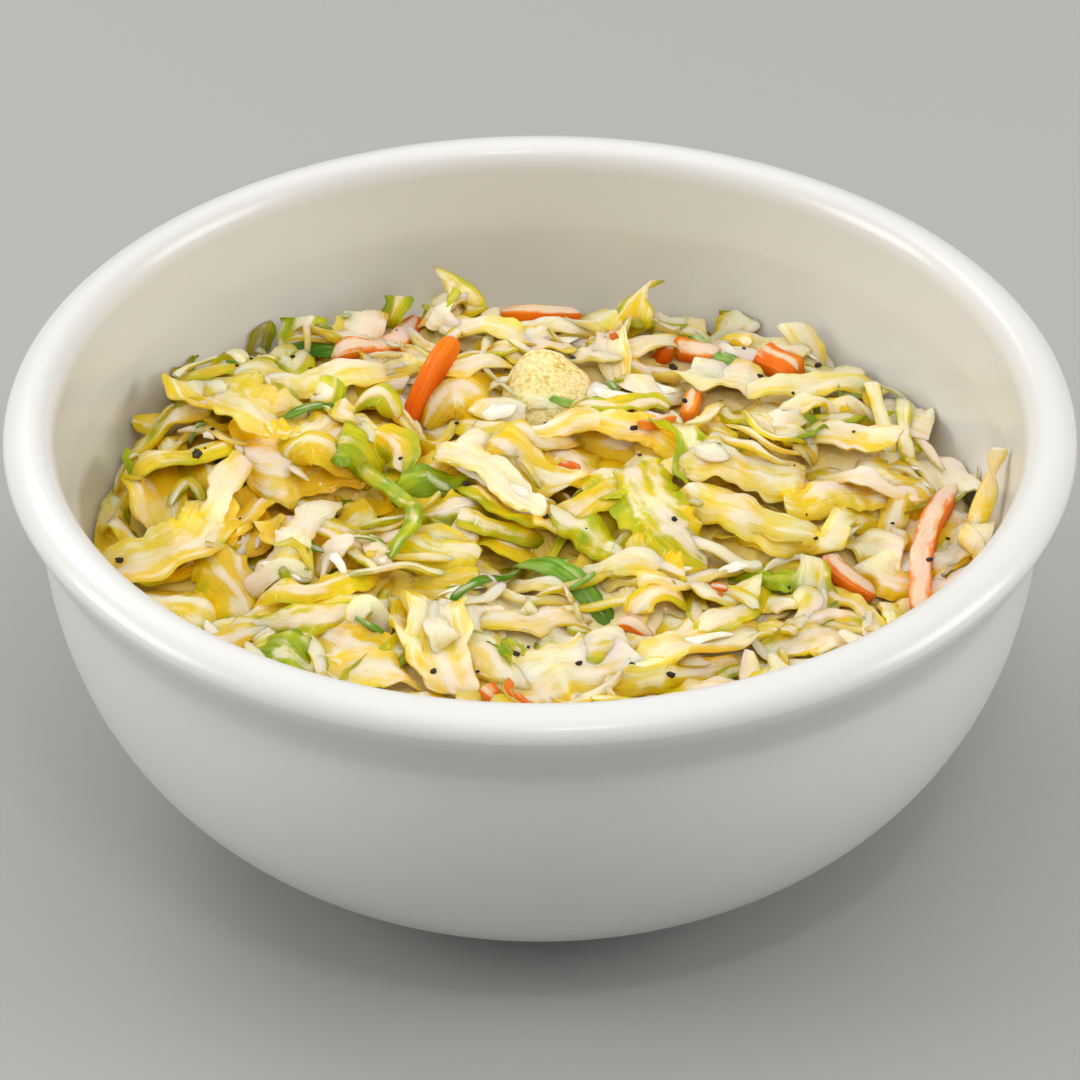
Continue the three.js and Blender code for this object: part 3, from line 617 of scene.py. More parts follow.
# colour, form, three points of its middle line, width, arch, lift of the far end, roll in degrees, cup
largeRows = [
    # the bed at the front
    ("cream", "ribbon", (-8, -20), (0, -20.5), (9, -20), 3.4, 0.4, 0, 0, 0.4),
    ("cream", "thread", (-9, -12.5), (-3, -15), (5, -16.5), 1.4, 0.5, 0, 0, 0.3),
    ("cream", "ribbon", (3, -14), (9, -13.5), (17, -15), 2.4, 0.6, 0, 0, 0.5),
    ("cream", "ribbon", (-4, -12), (1, -12.6), (7, -15), 2.6, 0.4, 0, 0, 0.4),
    ("tan", "leafy", (-29, -24), (-25, -26.5), (-21, -31), 7, 0.6, 0, 0, 0.5),
    ("leaf", "leafy", (-38, -26), (-33, -27), (-28, -31), 5, 0.8, 0, 10, 0.6),
    ("lime", "ribbon", (-31, -24), (-28.5, -26.5), (-28, -32), 1.8, 1, 0, 0, 0.3),
    ("olive", "leafy", (-37, -24.5), (-29, -21.5), (-20, -20.5), 4.4, 0.4, 0, 15, 0.5),
    ("cream", "leafy", (-29, -18), (-24, -16.8), (-19, -18.5), 4.6, 0.8, 0, 0, 0.6),
    ("cream", "ribbon", (-43, -22.5), (-34, -18), (-22, -15.5), 3.8, 1.2, 0, -6, 0.6),
    ("lime", "ribbon", (-39, -25.5), (-31, -20), (-19, -15.5), 3.4, 1.2, 0, 24, 0.6),
    ("white", "ribbon", (-24.5, -20.5), (-22, -21), (-20, -24.5), 2.4, 0.8, 0, 0, 0.5),
    ("green", "sliver", (-24, -20), (-21, -21), (-19, -24), 1.1, 1.0, 0, 0, 0.3),
    ("lime", "ribbon", (-26, -33), (-20, -30), (-14.5, -27), 3.6, 0.8, 0, 10, 0.8),
    ("cream", "leafy", (-28, -32), (-22, -31), (-16, -33), 5, 0.4, 0, 0, 0.5),
    ("gold", "leafy", (-18, -16.5), (-17, -21), (-16, -27), 4.6, 1.0, 0, -20, 0.6),
    ("cream", "leafy", (-14, -15.5), (-13, -24), (-11, -36), 7, 1.8, 0, 0, 0.9),
    ("white", "ribbon", (-13.4, -17), (-13, -21), (-12, -27), 3.2, 2.6, 0, 0, 0.7),
    ("cream", "ribbon", (-12, -23), (-6, -27.5), (-3, -35), 5.4, 1.4, 0, 0, 0.8),
    ("leaf", "leafy", (-8.5, -25), (-5, -26.5), (-3, -30), 3.4, 0.4, 0, 0, 0.5),
    ("gold", "ribbon", (-3, -27), (-1, -28.5), (1, -30), 3, 0.1, 0, 0, 0.4),
    ("cream", "leafy", (-5, -37), (3, -31.5), (12, -29), 9, 1.2, 0, 0, 0.7),
    ("gold", "ribbon", (8, -34), (16, -32), (25, -30.5), 3.6, 0.8, 0, 20, 0.7),
    ("cream", "ribbon", (11, -31), (20, -26.5), (30, -23.5), 5.6, 1.6, 0, -6, 1.0),
    ("olive", "leafy", (30, -27), (36, -24), (43, -23.5), 5.6, 0.8, 0, 0, 0.6),
    ("lime", "thread", (22, -33), (26, -31), (30, -28.5), 1.6, 0.6, 0, 0, 0.3),
    ("gold", "ribbon", (11, -26.5), (15, -24.5), (20, -21.5), 2.8, 0.6, 0, 0, 0.6),
    ("gold", "chunk", (28.5, -21.5), (30.5, -22), (33, -22.5), 2, 0.2, 0, 0, 0.3),
    ("cream", "ribbon", (22, -20.5), (28, -18.5), (34, -18), 3, 0.3, 0, 0, 0.5),
    ("gold", "ribbon", (34, -12.5), (35, -17), (34, -22), 2.8, 0.8, 0, 0, 0.5),
    ("lime", "thread", (36.5, -13), (37, -16), (36.5, -20), 1.5, 1.2, 0, 0, 0.3),
    ("lime", "ribbon", (21.5, -22.5), (26, -17), (29, -13.5), 3.6, 1.2, 0, 10, 0.7),
    ("leaf", "leafy", (25.5, -11), (30, -10.5), (34, -12.5), 3.6, 1, 0, 10, 0.7),
    ("olive", "ribbon", (12, -18.5), (15, -16.5), (19, -16.5), 2.8, 0.8, 0, 0, 0.7),
    ("cream", "ribbon", (13, -14), (18, -11), (26, -10), 3.6, 1.2, 0, -10, 0.8),
    ("lime", "chunk", (4, -22.3), (5, -22.5), (6.5, -22.9), 1.5, 0.4, 0, 0, 0.3),
    ("white", "ribbon", (-12, -15.4), (-9, -15.2), (-5, -14), 1.8, 0.8, 0, 0, 0.4),
    ("green", "sliver", (-11.5, -16), (-7.2, -11.6), (-2.2, -6.6), 1.9, 0.8, 0, 0, 0.3),
    # the left
    ("cream", "leafy", (-61, 8), (-58, 3), (-58, -2), 5, 0.6, 0, 10, 0.6),
    ("gold", "leafy", (-60, -2), (-57, -5), (-54.5, -11), 4.6, 0.8, 0, 10, 0.6),
    ("cream", "leafy", (-53, -14), (-47, -15.5), (-42, -20), 6, 0.8, 0, 0, 0.6),
    ("cream", "leafy", (-55, 14), (-52.5, 7), (-50, -3), 6.5, 0.6, 0, -10, 0.7),
    ("gold", "ribbon", (-59, 0.5), (-55.5, 0.8), (-52, -1), 2, 0.8, 0, 0, 0.4),
    ("gold", "leafy", (-48, 17), (-46.5, 11), (-45.5, 4), 8, 0.4, 0, 25, 0.8),
    ("lime", "thread", (-49.5, 2.5), (-47, 6), (-44.5, 2), 1.5, 1, 0, 0, 0.3),
    ("lime", "thread", (-52, -1.5), (-48.5, -3), (-44.5, -1.5), 1.3, 0.6, 0, 0, 0.3),
    ("tan", "ribbon", (-40, 5), (-37.5, 0), (-38, -7), 5, 0, 0, 10, 0.4),
    ("cream", "ribbon", (-36.5, 8.5), (-38.2, 4), (-40, -2), 2.8, 1.2, 0, 0, 0.7),
    ("gold", "ribbon", (-42, 3), (-45, -4.5), (-53, -12.5), 4.4, 1, 0, 30, 0.6),
    ("cream", "ribbon", (-43.5, 4), (-48, -4), (-58, -11), 7, 1.4, 0, -14, 0.9),
    ("white", "ribbon", (-40.5, 18), (-42.5, 9.5), (-45.5, 1), 3.2, 2.4, 0, -20, 0.6),
    ("gold", "ribbon", (-56, 12), (-50.5, 18.5), (-42, 20.5), 6, 2.2, 0, -24, 0.9),
    ("cream", "ribbon", (-50, 21), (-45.5, 22.5), (-40, 21), 2.6, 1.2, 0, 0, 0.7),
    ("gold", "ribbon", (-34, 13.5), (-29.5, 15.5), (-25, 15), 3.4, 0.6, 0, 25, 0.6),
    ("tan", "leafy", (-42, 20), (-32, 19), (-21, 22), 10.5, 1.8, 0, 12, 0.6),
    ("tan", "ribbon", (-34, 13), (-30, 11.5), (-23, 11), 4.2, 1.6, 0, 8, 0.7),
    ("tan", "leafy", (-31, -3), (-27, 1.5), (-22.5, 4.5), 6, 0.6, 0, 0, 0.7),
    ("gold", "leafy", (-29.5, -5), (-25, -4.2), (-20, -7), 6, 0.8, 0, 0, 0.7),
    ("white", "ribbon", (-28, 8), (-32, -0.5), (-37, -9.5), 3.8, 1.8, 0, 0, 0.6),
    ("white", "chunk", (-22.5, -2), (-21.3, -5), (-20.8, -8), 3, 1.0, 0, 0, 0.5),
    ("white", "ribbon", (-30, -5.8), (-27.5, -7), (-24.5, -9.5), 2.6, 0.8, 0, 0, 0.6),
    ("gold", "leafy", (-46, -5), (-42, -11), (-38, -17), 6.6, 1, 0, 16, 0.9),
    ("white", "ribbon", (-38.5, -14), (-34.5, -12), (-30, -10), 2.8, 1.2, 0, 0, 0.6),
    ("gold", "ribbon", (-37, -15.5), (-30, -12.8), (-21, -10.5), 3.6, 1.2, 0, 18, 0.7),
    # the back left
    ("pale", "leafy", (-50, 36), (-52, 39.5), (-54.5, 43.5), 4.4, 0.6, 2.6, 0, 0.6),
    ("cream", "ribbon", (-51.5, 35.5), (-46, 34.3), (-40, 37), 3.4, 1.2, 0, 0, 0.7),
    ("cream", "leafy", (-48, 31.5), (-41, 28.3), (-33, 26), 9.5, 1.4, 0, 0, 0.8),
    ("pale", "leafy", (-41, 44), (-41.5, 49), (-42, 54.5), 4.6, 0.6, 3.0, 10, 0.5),
    ("green", "sliver", (-35.5, 44.5), (-31, 43.5), (-27, 42.5), 3, 0.8, 0, 0, 0.5),
    ("lime", "chunk", (-36.5, 41), (-35, 39.5), (-33, 38), 3.4, 0.4, 0, 0, 0.4),
    ("pale", "leafy", (-35, 45), (-34.5, 49), (-33.5, 53.5), 5.0, 0.6, 3.0, 0, 0.8),
    ("gold", "ribbon", (-35, 33), (-28, 34.5), (-19, 35), 3.4, 0.6, 0, 10, 0.6),
    ("cream", "ribbon", (-40, 34.5), (-29.5, 38), (-18, 40), 4.8, 1.8, 0, 0, 0.9),
    ("leaf", "ribbon", (-31.5, 37), (-29, 34), (-29.5, 28), 2.8, 1.4, 0, 0, 0.6),
    ("white", "chunk", (-31, 34.8), (-30.3, 32.5), (-31.5, 30.5), 2, 1.2, 0, 0, 0.4),
    ("green", "sliver", (-36, 26.5), (-32, 29), (-28.5, 30.5), 2.4, 1.2, 0, 0, 0.4),
    ("lime", "ribbon", (-26.5, 29), (-23, 32), (-20, 27), 2.8, 1.6, 0, 0, 0.7),
    ("cream", "ribbon", (-27, 31), (-27.2, 27.5), (-25, 24.5), 2.4, 1.2, 0, 0, 0.5),
    ("cream", "leafy", (-25.5, 25.5), (-22.5, 24), (-19.5, 21.5), 4.4, 0.8, 0, 0, 0.7),
    ("pale", "leafy", (-13, 50), (-12.5, 56), (-13.5, 63), 6.4, 0.6, 7.5, 0, 0.5),
    ("cream", "leafy", (-19, 58), (-15, 54), (-12, 49), 6.6, 1.6, 0, 14, 0.6),
    ("leaf", "leafy", (-22, 50), (-21, 54), (-20, 58), 4.0, 0.6, 3.6, 0, 0.5),
    ("olive", "chunk", (-12, 54.5), (-10, 54), (-7.5, 54.5), 3, 0.4, 0, 0, 0.4),
    ("cream", "ribbon", (-14, 47.5), (-8, 48.5), (-1, 46.5), 3.6, 1.4, 0, 0, 0.8),
    ("gold", "ribbon", (-15, 34.5), (-9.5, 36.5), (-4, 37.5), 3.6, 0.8, 0, 0, 0.7),
    ("cream", "ribbon", (-15.5, 39), (-10, 41), (-4, 39), 3.6, 1.4, 0, 0, 0.8),
    ("tan", "chunk", (-16, 26), (-12, 29.5), (-8, 28.5), 5.6, 1.6, 0, 0, 0.9),
    ("white", "chunk", (-8.5, 27), (-5.5, 28.5), (-2, 27), 4.4, 1.2, 0, 0, 0.8),
    ("leaf", "leafy", (-29, 19.5), (-25, 18), (-22, 14), 4.6, 1.2, 0, 0, 0.7),
    ("lime", "leafy", (-22.5, 21.5), (-19.5, 19), (-19, 13.5), 4.0, 1.6, 0, 14, 0.5),
    # the middle
    ("olive", "leafy", (-18.5, 6), (-13, 4.5), (-7.5, 4), 6.6, 0.6, 0, 0, 0.8),
    ("olive", "leafy", (-18.5, -2.5), (-13, -4.5), (-8, -7), 6.4, 0.8, 0, 0, 0.9),
    ("lime", "ribbon", (-11, 2.5), (-5.5, 1.5), (1, -4), 3.4, 1, 0, 0, 0.9),
    ("lime", "ribbon", (-11, 9.5), (-6, 6), (3, 0.5), 2.8, 1.2, 0, 0, 0.6),
    ("gold", "ribbon", (-12, 18), (-6, 19), (0, 17), 3.4, 0.8, 0, 0, 0.8),
    ("gold", "leafy", (1, 19), (8, 14), (13, 9), 8.4, 1.2, 0, -20, 0.6),
    ("tan", "leafy", (-8, 17), (-2, 15.5), (5, 11.5), 5.4, 1.6, 0, 0, 0.8),
    ("tan", "ribbon", (-1, 3.5), (6, 5), (14, 2.5), 4.4, 0.8, 0, 0, 0.7),
    ("white", "ribbon", (-14, 16.5), (-6.5, 11.8), (1, 4), 4.6, 2.2, 0, 6, 0.9),
    ("leaf", "thread", (-28, 19), (-17.3, 6), (-20, -10), 2.3, 2.2, 0, 0, 0.5),
    ("gold", "ribbon", (-11, 25), (-4, 23.5), (4, 21), 3.4, 0.8, 0, 0, 0.7),
    ("cream", "ribbon", (-1, 23.5), (7, 26.5), (15, 23.5), 3.8, 1.6, 0, 0, 0.8),
    ("tan", "ribbon", (8, 26.5), (16, 22), (21, 11), 3.6, 1.8, 0, 14, 0.6),
    ("lime", "ribbon", (16, 25), (19.5, 20), (22, 11), 4.2, 1.6, 0, -10, 0.7),
    ("lime", "leafy", (12.5, 17.5), (15.5, 7), (22, -7), 8.4, 2.2, 0, 4, 0.9),
    ("gold", "leafy", (12.5, -3.5), (15.5, -6.5), (19, -10), 3.6, 0.8, 0, 10, 0.5),
    ("lime", "leafy", (1.5, -0.5), (6, -2.5), (11, -5.5), 3.8, 1, 0, 0, 0.8),
    ("cream", "ribbon", (5, -6.5), (11, -7.5), (17, -9.5), 3.6, 0.8, 0, 0, 0.7),
    ("green", "sliver", (-3.0, -7.8), (3.6, -10.2), (10.4, -13.4), 4.6, 0.7, 0, 14, 0.4),
    # the back right
    ("cream", "ribbon", (-6, 50.5), (1, 50.8), (9, 48.5), 4.6, 1.2, 0, 0, 0.7),
    ("cream", "leafy", (4, 49.5), (10, 52), (16, 51), 5.6, 1.2, 0, 0, 0.7),
    ("pale", "leafy", (11, 48), (13, 54), (15.4, 61), 5.4, 0.4, 6.5, 0, 0.7),
    ("lime", "chunk", (13, 51.5), (14.5, 52), (16.5, 51), 2.8, 1.6, 0, 0, 0.4),
    ("lime", "leafy", (16, 53), (18, 52.5), (21, 51), 3, 1, 0, 0, 0.6),
    ("olive", "chunk", (-1, 46.3), (0.8, 46), (2.5, 46), 2.4, 0, 0, 0, 0.3),
    ("olive", "chunk", (7, 46.5), (8.5, 46), (9.5, 45.5), 2.8, 0, 0, 0, 0.3),
    ("olive", "ribbon", (-8, 43.3), (-5, 43), (-2, 42.5), 2.2, 0, 0, 0, 0.3),
    ("cream", "ribbon", (4, 41.5), (12, 44), (21, 43.5), 3.6, 1.4, 0, 0, 0.8),
    ("olive", "ribbon", (12.5, 39.8), (16, 38.8), (19.5, 37), 3, 0.6, 0, 0, 0.6),
    ("grain", "leafy", (-5, 32.5), (1.2, 33.2), (7.4, 31), 11.5, 1.4, 0, 34, 0.3),
    ("white", "ribbon", (7, 34), (11, 32.5), (15, 31), 4, 1.4, 0, 0, 0.8),
    ("white", "ribbon", (12, 36.5), (16, 34.5), (20, 33), 3.6, 1.4, 0, 0, 0.8),
    ("lime", "ribbon", (5, 29), (11.5, 30.3), (18, 28.5), 3, 1, 0, 0, 0.7),
    ("olive", "leafy", (23.5, 46.5), (27, 49.5), (29.5, 53), 4.8, 0.6, 2.6, 6, 0.4),
    ("cream", "ribbon", (25.5, 46), (31.5, 47.2), (38, 43.5), 4, 1.2, 0, 0, 0.8),
    ("cream", "leafy", (39.5, 40.5), (38, 45.5), (36, 50.5), 3.8, 0.6, 3.0, 0, 0.4),
    ("cream", "leafy", (19, 37), (28, 34.5), (38, 31), 7, 1, 0, 6, 0.6),
    ("cream", "ribbon", (29, 32.5), (38, 35), (47, 31.5), 4, 1.2, 0, 10, 0.8),
    ("green", "sliver", (21, 49), (25, 43.5), (29, 39.3), 2.6, 1.4, 0, 20, 0.5),
    ("white", "ribbon", (25, 44.5), (27.5, 41.5), (29.5, 40.5), 2, 1.2, 0, 0, 0.4),
    ("white", "chunk", (31.5, 27), (34, 27), (36.5, 28.5), 3.6, 1.2, 0, 0, 0.6),
    ("lime", "ribbon", (24.5, 28), (28, 27), (32.5, 23.5), 2.2, 1.4, 0, 0, 0.5),
    ("gold", "chunk", (22, 25.5), (24, 24), (26, 21), 3, 0.2, 0, 0, 0.4),
    ("gold", "leafy", (33, 26.5), (38, 30.0), (41.5, 25.5), 3.4, 1.4, 0, 0, 0.5),
    ("olive", "leafy", (40.5, 28), (43, 30.5), (45.5, 23), 3, 1.3, 0, 0, 0.5),
    ("leaf", "leafy", (35, 22.5), (39, 22.8), (43, 19.5), 4.2, 1.2, 0, 0, 0.8),
    ("lime", "ribbon", (36, 27), (40, 25), (44, 25.5), 2.6, 1.0, 0, 0, 0.6),
    ("gold", "ribbon", (32, 20.5), (35, 19.5), (38, 19), 2.6, 0.6, 0, 0, 0.6),
    ("cream", "thread", (46, 34), (47.5, 26), (47, 16.5), 2, 2.0, 0, 0, 0.4),
    ("lime", "thread", (49, 34), (51, 26), (50.5, 16.5), 1.8, 2.4, 0, 0, 0.4),
    ("cream", "thread", (51.5, 29), (52, 22), (55, 14), 1.3, 1.0, 0, 0, 0.4),
    ("cream", "thread", (50, 17), (53, 12), (55.5, 7), 1.2, 1.2, 0, 0, 0.3),
    ("tan", "leafy", (43, 15), (47, 16), (51, 13), 5, 1, 0, 0, 0.6),
    ("gold", "ribbon", (20.5, 12.5), (26, 10.5), (32, 9), 3.6, 1, 0, 25, 0.6),
    ("cream", "leafy", (18.5, 17.5), (27.5, 17), (36, 11.5), 8.4, 2.4, 0, -6, 0.8),
    ("white", "chunk", (21.5, 20.5), (23.7, 18.8), (25.5, 17.5), 3.4, 2.6, 0, 0, 0.7),
    ("cream", "thread", (20, 23.5), (22.5, 27), (25.5, 31), 2.2, 1.6, 0, 0, 0.4),
    ("cream", "thread", (24, 23), (28.5, 19.5), (34, 16), 1.6, 2.0, 0, 0, 0.4),
    ("cream", "thread", (26, 25), (30.5, 21.8), (36, 17.5), 1.7, 2.0, 0, 0, 0.4),
    ("lime", "thread", (28, 26.5), (32, 23.5), (37, 19.5), 1.3, 1.8, 0, 0, 0.4),
    ("gold", "ribbon", (24, 5), (31, -2), (39, -3.5), 3.6, 0.8, 0, 26, 0.7),
    ("cream", "ribbon", (21, 10), (28, 4), (38, -1.5), 6.8, 2.0, 0, 8, 1.3),
    ("tan", "ribbon", (36.5, -3.5), (40.5, 0.5), (42.5, 7), 3, 1.6, 0, 0, 0.6),
    ("gold", "ribbon", (40, 2.5), (46, 4.5), (53, 7.5), 3.2, 1, 0, 20, 0.6),
    ("gold", "leafy", (33, 6.5), (42, 9.5), (54, 8.5), 6.4, 2.2, 0, 0, 0.7),
    ("white", "ribbon", (38, 12), (45, 11.2), (52, 9), 3, 3.0, 0, 0, 0.5),
    # the right
    ("cream", "leafy", (40.5, -3.5), (44, -3.5), (48, -6.5), 5, 0.8, 0, 0, 0.7),
    ("gold", "ribbon", (46, 0), (48.5, 0.5), (51, -1), 3.4, 1, 0, 0, 0.6),
    ("gold", "leafy", (42.5, -9.5), (46, -10), (50, -13), 5, 0.8, 0, 0, 0.7),
    ("cream", "ribbon", (38, -14), (41, -18), (44, -22), 2.6, 0.8, 0, 0, 0.5),
    ("gold", "ribbon", (45, -15), (46, -18), (45.5, -21.5), 2.2, 0.8, 0, 0, 0.5),
    ("gold", "leafy", (51.5, -14), (54.5, -12), (57.5, -8), 4.4, 0.8, 0, 0, 0.7),
    ("tan", "leafy", (51.5, -7.5), (54, -4.5), (57, -1), 5, 0.8, 0, 0, 0.8),
    ("tan", "leafy", (54, 0), (56, 3.5), (58, 7), 4.4, 0.8, 0, 0, 0.8),
    ("cream", "leafy", (57, -9), (59, -3), (62, 4), 4.8, 0.8, 0, 20, 0.5),
    ("cream", "ribbon", (57.4, -3), (60.0, 7), (62.8, 19.5), 2.4, 0, 13, 0, 0.3),
    ("tan", "thread", (58, 2), (59.5, 8), (60.5, 15), 1.4, 0, 4, 20, 0.3),
]

# three points of the middle line, width, arch, lift of the far end, how much dressing clings
carrotRows = [
    ((-18.3, 24), (-15.8, 34.5), (-12.3, 47), 2.9, 0, 11.5, -0.8),
    ((55.8, 9.5), (51.3, -3), (49.3, -19), 2.8, 1.6, 0, 0.75),
    ((38.3, -6), (40.0, -11), (43.6, -15), 2.4, 1.4, 0, 0.6),
    ((-29, 41.5), (-24, 43.8), (-17.5, 47.5), 3.0, 1, 0, 0.7),
    ((-7, 53), (-1, 53), (5.5, 53.3), 2.8, 0.8, 0, 0.7),
    ((31, 42.5), (33.3, 40), (36.3, 37), 4.2, 1, 0, 0.2),
    ((19, 43), (22, 43.5), (25.5, 41.5), 2.8, 0.8, 0, 0.5),
    ((20.3, 26.3), (20.8, 28.5), (21.6, 30.8), 2.2, 1.2, 0, 0.1),
    ((14, 24.8), (16, 25.6), (18.5, 26.2), 1.5, 1.4, 0, 0.5),
    ((10, -21.5), (12, -21), (14.5, -22), 1.7, 0.6, 0, 0.7),
    ((-6.8, -35.5), (-6.2, -36.5), (-5.8, -37.5), 2.0, 0.6, 0, 0.4),
]

# three points of the middle line and width of the thicker streaks of dressing
streakRows = [
    ((-11.5, 15), (-6, 11.6), (-0.5, 5.5), 3.0),
    ((14.2, 11), (15.8, 5), (18.5, -1), 2.4),
    ((7.5, 33.5), (10.5, 32.4), (14, 31.8), 3.2),
    ((14, 36), (16.5, 34.6), (19, 33.4), 2.6),
    ((-22.3, -3.5), (-21.3, -5.5), (-20.8, -7.6), 2.4),
    ((40, 11.6), (45, 11), (50, 9.4), 2.0),
    ((-36.5, -13), (-34, -12), (-31.5, -10.6), 1.6),
    ((-41.4, 15), (-42.4, 10.5), (-43.8, 6), 1.5),
    ((22.5, 19.8), (23.8, 18.7), (25, 18), 2.6),
    ((32, 27.2), (33.8, 27), (35.6, 27.6), 2.4),
    ((-13.6, -18), (-13, -20.5), (-12.5, -24), 2.2),
    ((-8, 27.4), (-5.6, 28.2), (-3.4, 27.6), 2.6),
    ((-29, -6.4), (-27.4, -7.2), (-25.6, -8.8), 1.4),
    ((-31, 4), (-32.2, 0), (-34.6, -5), 1.6),
    ((14, -24.5), (19, -24.2), (25, -23.4), 1.8),
    ((-46.6, 22), (-46, 22.6), (-45, 22.2), 1.6),
    ((30.5, 3.4), (33.4, 1.4), (36, 0.6), 2.0),
    ((-10, -24), (-7.6, -27), (-5.6, -31), 2.2),
    ((12, -9.2), (16, -9.4), (20, -9), 1.6),
    ((-3, 47.6), (2, 47), (6, 44.5), 2.2),
    ((-38, 29.5), (-41, 31), (-44, 29), 1.8),
]


largeShare = {
    "width": {"leafy": 1.25, "ribbon": 1.25, "thread": 1.0, "chunk": 1.2, "sliver": 0.75},
    "cup": 0.75,
    "hollow": 0.3,  # the share that lies cupped downwards
    "drift": 0.08,  # the most that the tone changes along and across
    "film": {"white": 0.95, "pale": 0.55, "leaf": 0.15},  # the others draw theirs
    "filmDrawn": (0.05, 0.45),
    "core": {"lime": 0.8, "olive": 0.6, "pale": 0.5},
    "coreElse": 0.3,
    "paleFrom": 0.6,  # tones up to this turn paler in the creamy parts
    "shape": {
        "grain": dict(blunt=2.6, taper=0.7, slant=0.0, ragged=0.05, ruffle=0.25, crumple=0.2),
        "pale": dict(taper=0.2, ragged=0.2),
        "leaf": dict(ragged=0.2, ruffle=1.0, crumple=0.5),
    },
}


def largeShreds(rng):
    made = []
    for colour, form, a, m, b, width, arch, lift, roll, cup in largeRows:
        cup *= largeShare["cup"] * (-1 if rng.uniform() < largeShare["hollow"] else 1)
        drift = largeShare["drift"]
        look = dict(toneRun=rng.uniform(-drift, drift), toneAcross=rng.uniform(-drift, drift))
        if colour == "green":
            kind = "onion"
            look.update(tone=rng.uniform(0.0, 0.6), film=0.15)
        elif colour == "grain":
            kind = "grain"
            look.update(tone=0.3, film=0.2)
        else:
            kind, cream = "cabbage", creaminess(*m)
            film = rng.uniform(*largeShare["filmDrawn"]) + 0.35 * cream
            shift = 0.06 - 0.14 * cream if tones[colour] < largeShare["paleFrom"] else 0
            look.update(tone=tones[colour] + rng.uniform(-0.04, 0.04) + shift,
                        film=largeShare["film"].get(colour, film),
                        core=largeShare["core"].get(colour, largeShare["coreElse"]))
        if form == "leafy":
            look.update(largeShare["shape"].get(colour, {}))
        made.append(newShred(kind, form, (a, m, b), width * largeShare["width"][form], arch=arch, lift=lift,
                             roll=math.radians(roll), cup=cup, seen=np.array((a, m, b), float), **look))
    for a, m, b, width, arch, lift, film in carrotRows:
        tone = rng.uniform(0.2, 1) * (0.5 if film < 0 else 1)
        made.append(newShred("carrot", "stick", (a, m, b), width, arch=arch, lift=lift, steepen=1.1, cup=0.02,
                             rib=width * 0.9, edge=width * 0.7, tone=tone, film=film,
                             seen=np.array((a, m, b), float)))
    for a, m, b, width in streakRows:
        made.append(newShred("streak", "drip", (a, m, b), width, rib=0.3 * width, perch=0.7,
                             seen=np.array((a, m, b), float)))
    return made


creamy = {
    "from": (8, 8),  # the least creamy place
    "rightShare": 0.7,
    "spread": 30,
    "leftFrom": -10,
    "leftShare": 0.5,
}
filler = {
    "seed": 11,
    "patience": 60,  # it ends after this many draws with no place below the form
    "places": 14,  # tried for each
    "around": [(0, 0), (2, 0), (-2, 0), (0, 2), (0, -2)],  # where the lack is felt about each place
    "reach": 57.5,
    "edge": 60.0,
    "push": 6.0,  # the most that one is moved inwards
    "strays": 0.35,  # the share that doesn't follow its neighbours
    "flowSpread": 7.0,
    "bed": 3.6,  # they are laid up to this far below the form, and the large shreds over them
    "most": 1200,
    # kind, form, share, shades, widths, lengths
    "sorts": [
        ("cabbage", "ribbon", 0.33, (0.00, 0.35), (3.4, 6.8), (13, 28)),
        ("cabbage", "ribbon", 0.19, (0.30, 0.72), (3.2, 6.4), (13, 26)),
        ("cabbage", "leafy", 0.22, (0.05, 0.50), (6.5, 11.0), (11, 20)),
        ("cabbage", "leafy", 0.13, (0.50, 0.85), (5.5, 10.0), (9, 18)),
        ("cabbage", "thread", 0.06, (0.00, 0.80), (1.2, 2.0), (10, 24)),
        ("cabbage", "chunk", 0.04, (0.00, 0.20), (3.4, 6.0), (6, 11)),
        ("carrot", "stick", 0.01, (0.0, 1.0), (1.6, 2.6), (6, 11)),
        ("onion", "sliver", 0.02, (0.2, 1.0), (1.6, 2.8), (6, 12)),
    ],
    "gaps": (2.6, 0.5),  # finer ones come up to this far below it, from the least to the most creamy parts
    "mostInGaps": 190,
    "clearance": 5.5,  # the finer ones start this far off the pieces that have a colour of their own
    "carrotsFrom": -20,  # no small carrot lies further left
    "fineSorts": [
        ("cabbage", "ribbon", 0.40, (0.00, 0.50), (1.8, 3.6), (8, 15)),
        ("cabbage", "thread", 0.26, (0.00, 0.70), (1.0, 1.7), (8, 16)),
        ("cabbage", "leafy", 0.26, (0.10, 0.75), (3.2, 6.0), (6, 11)),
        ("carrot", "stick", 0.04, (0.3, 1.0), (1.0, 1.8), (3, 7)),
        ("onion", "sliver", 0.04, (0.2, 1.0), (1.2, 2.0), (4, 9)),
    ],
}
scatter = {
    # kind, form, count, shades, widths, lengths, of small bits that lie on top
    "sorts": [
        ("cabbage", "thread", 34, (0.0, 0.6), (0.8, 1.4), (8, 18)),
        ("cabbage", "sliver", 44, (0.0, 0.5), (1.0, 2.4), (2.5, 6.5)),
        ("cabbage", "sliver", 20, (0.55, 0.95), (0.8, 1.8), (2.0, 5.0)),
        ("onion", "sliver", 14, (0.2, 1.0), (0.6, 1.4), (1.8, 4.5)),
        ("carrot", "stick", 9, (0.2, 1.0), (0.8, 1.3), (1.6, 4.0)),
        ("streak", "drip", 26, (0.0, 1.0), (0.8, 1.8), (2.0, 8.0)),
    ],
    "reach": 57.0,
}


def creaminess(x, y):
    # from 0 in the middle and on the left to 1 at the front, the back and the right: (1 - cos) / 2 of the
    # distance from the least creamy place, in which x to the right counts less, halved on the left
    x0, y0 = creamy["from"]
    away = np.minimum(1.0, np.hypot(np.maximum(x - x0, 0) * creamy["rightShare"], y - y0) / creamy["spread"])
    left = np.clip(-(x - creamy["leftFrom"]) / creamy["spread"], 0, 1)
    return (0.5 - 0.5 * np.cos(np.pi * away)) * (1 - creamy["leftShare"] * left)


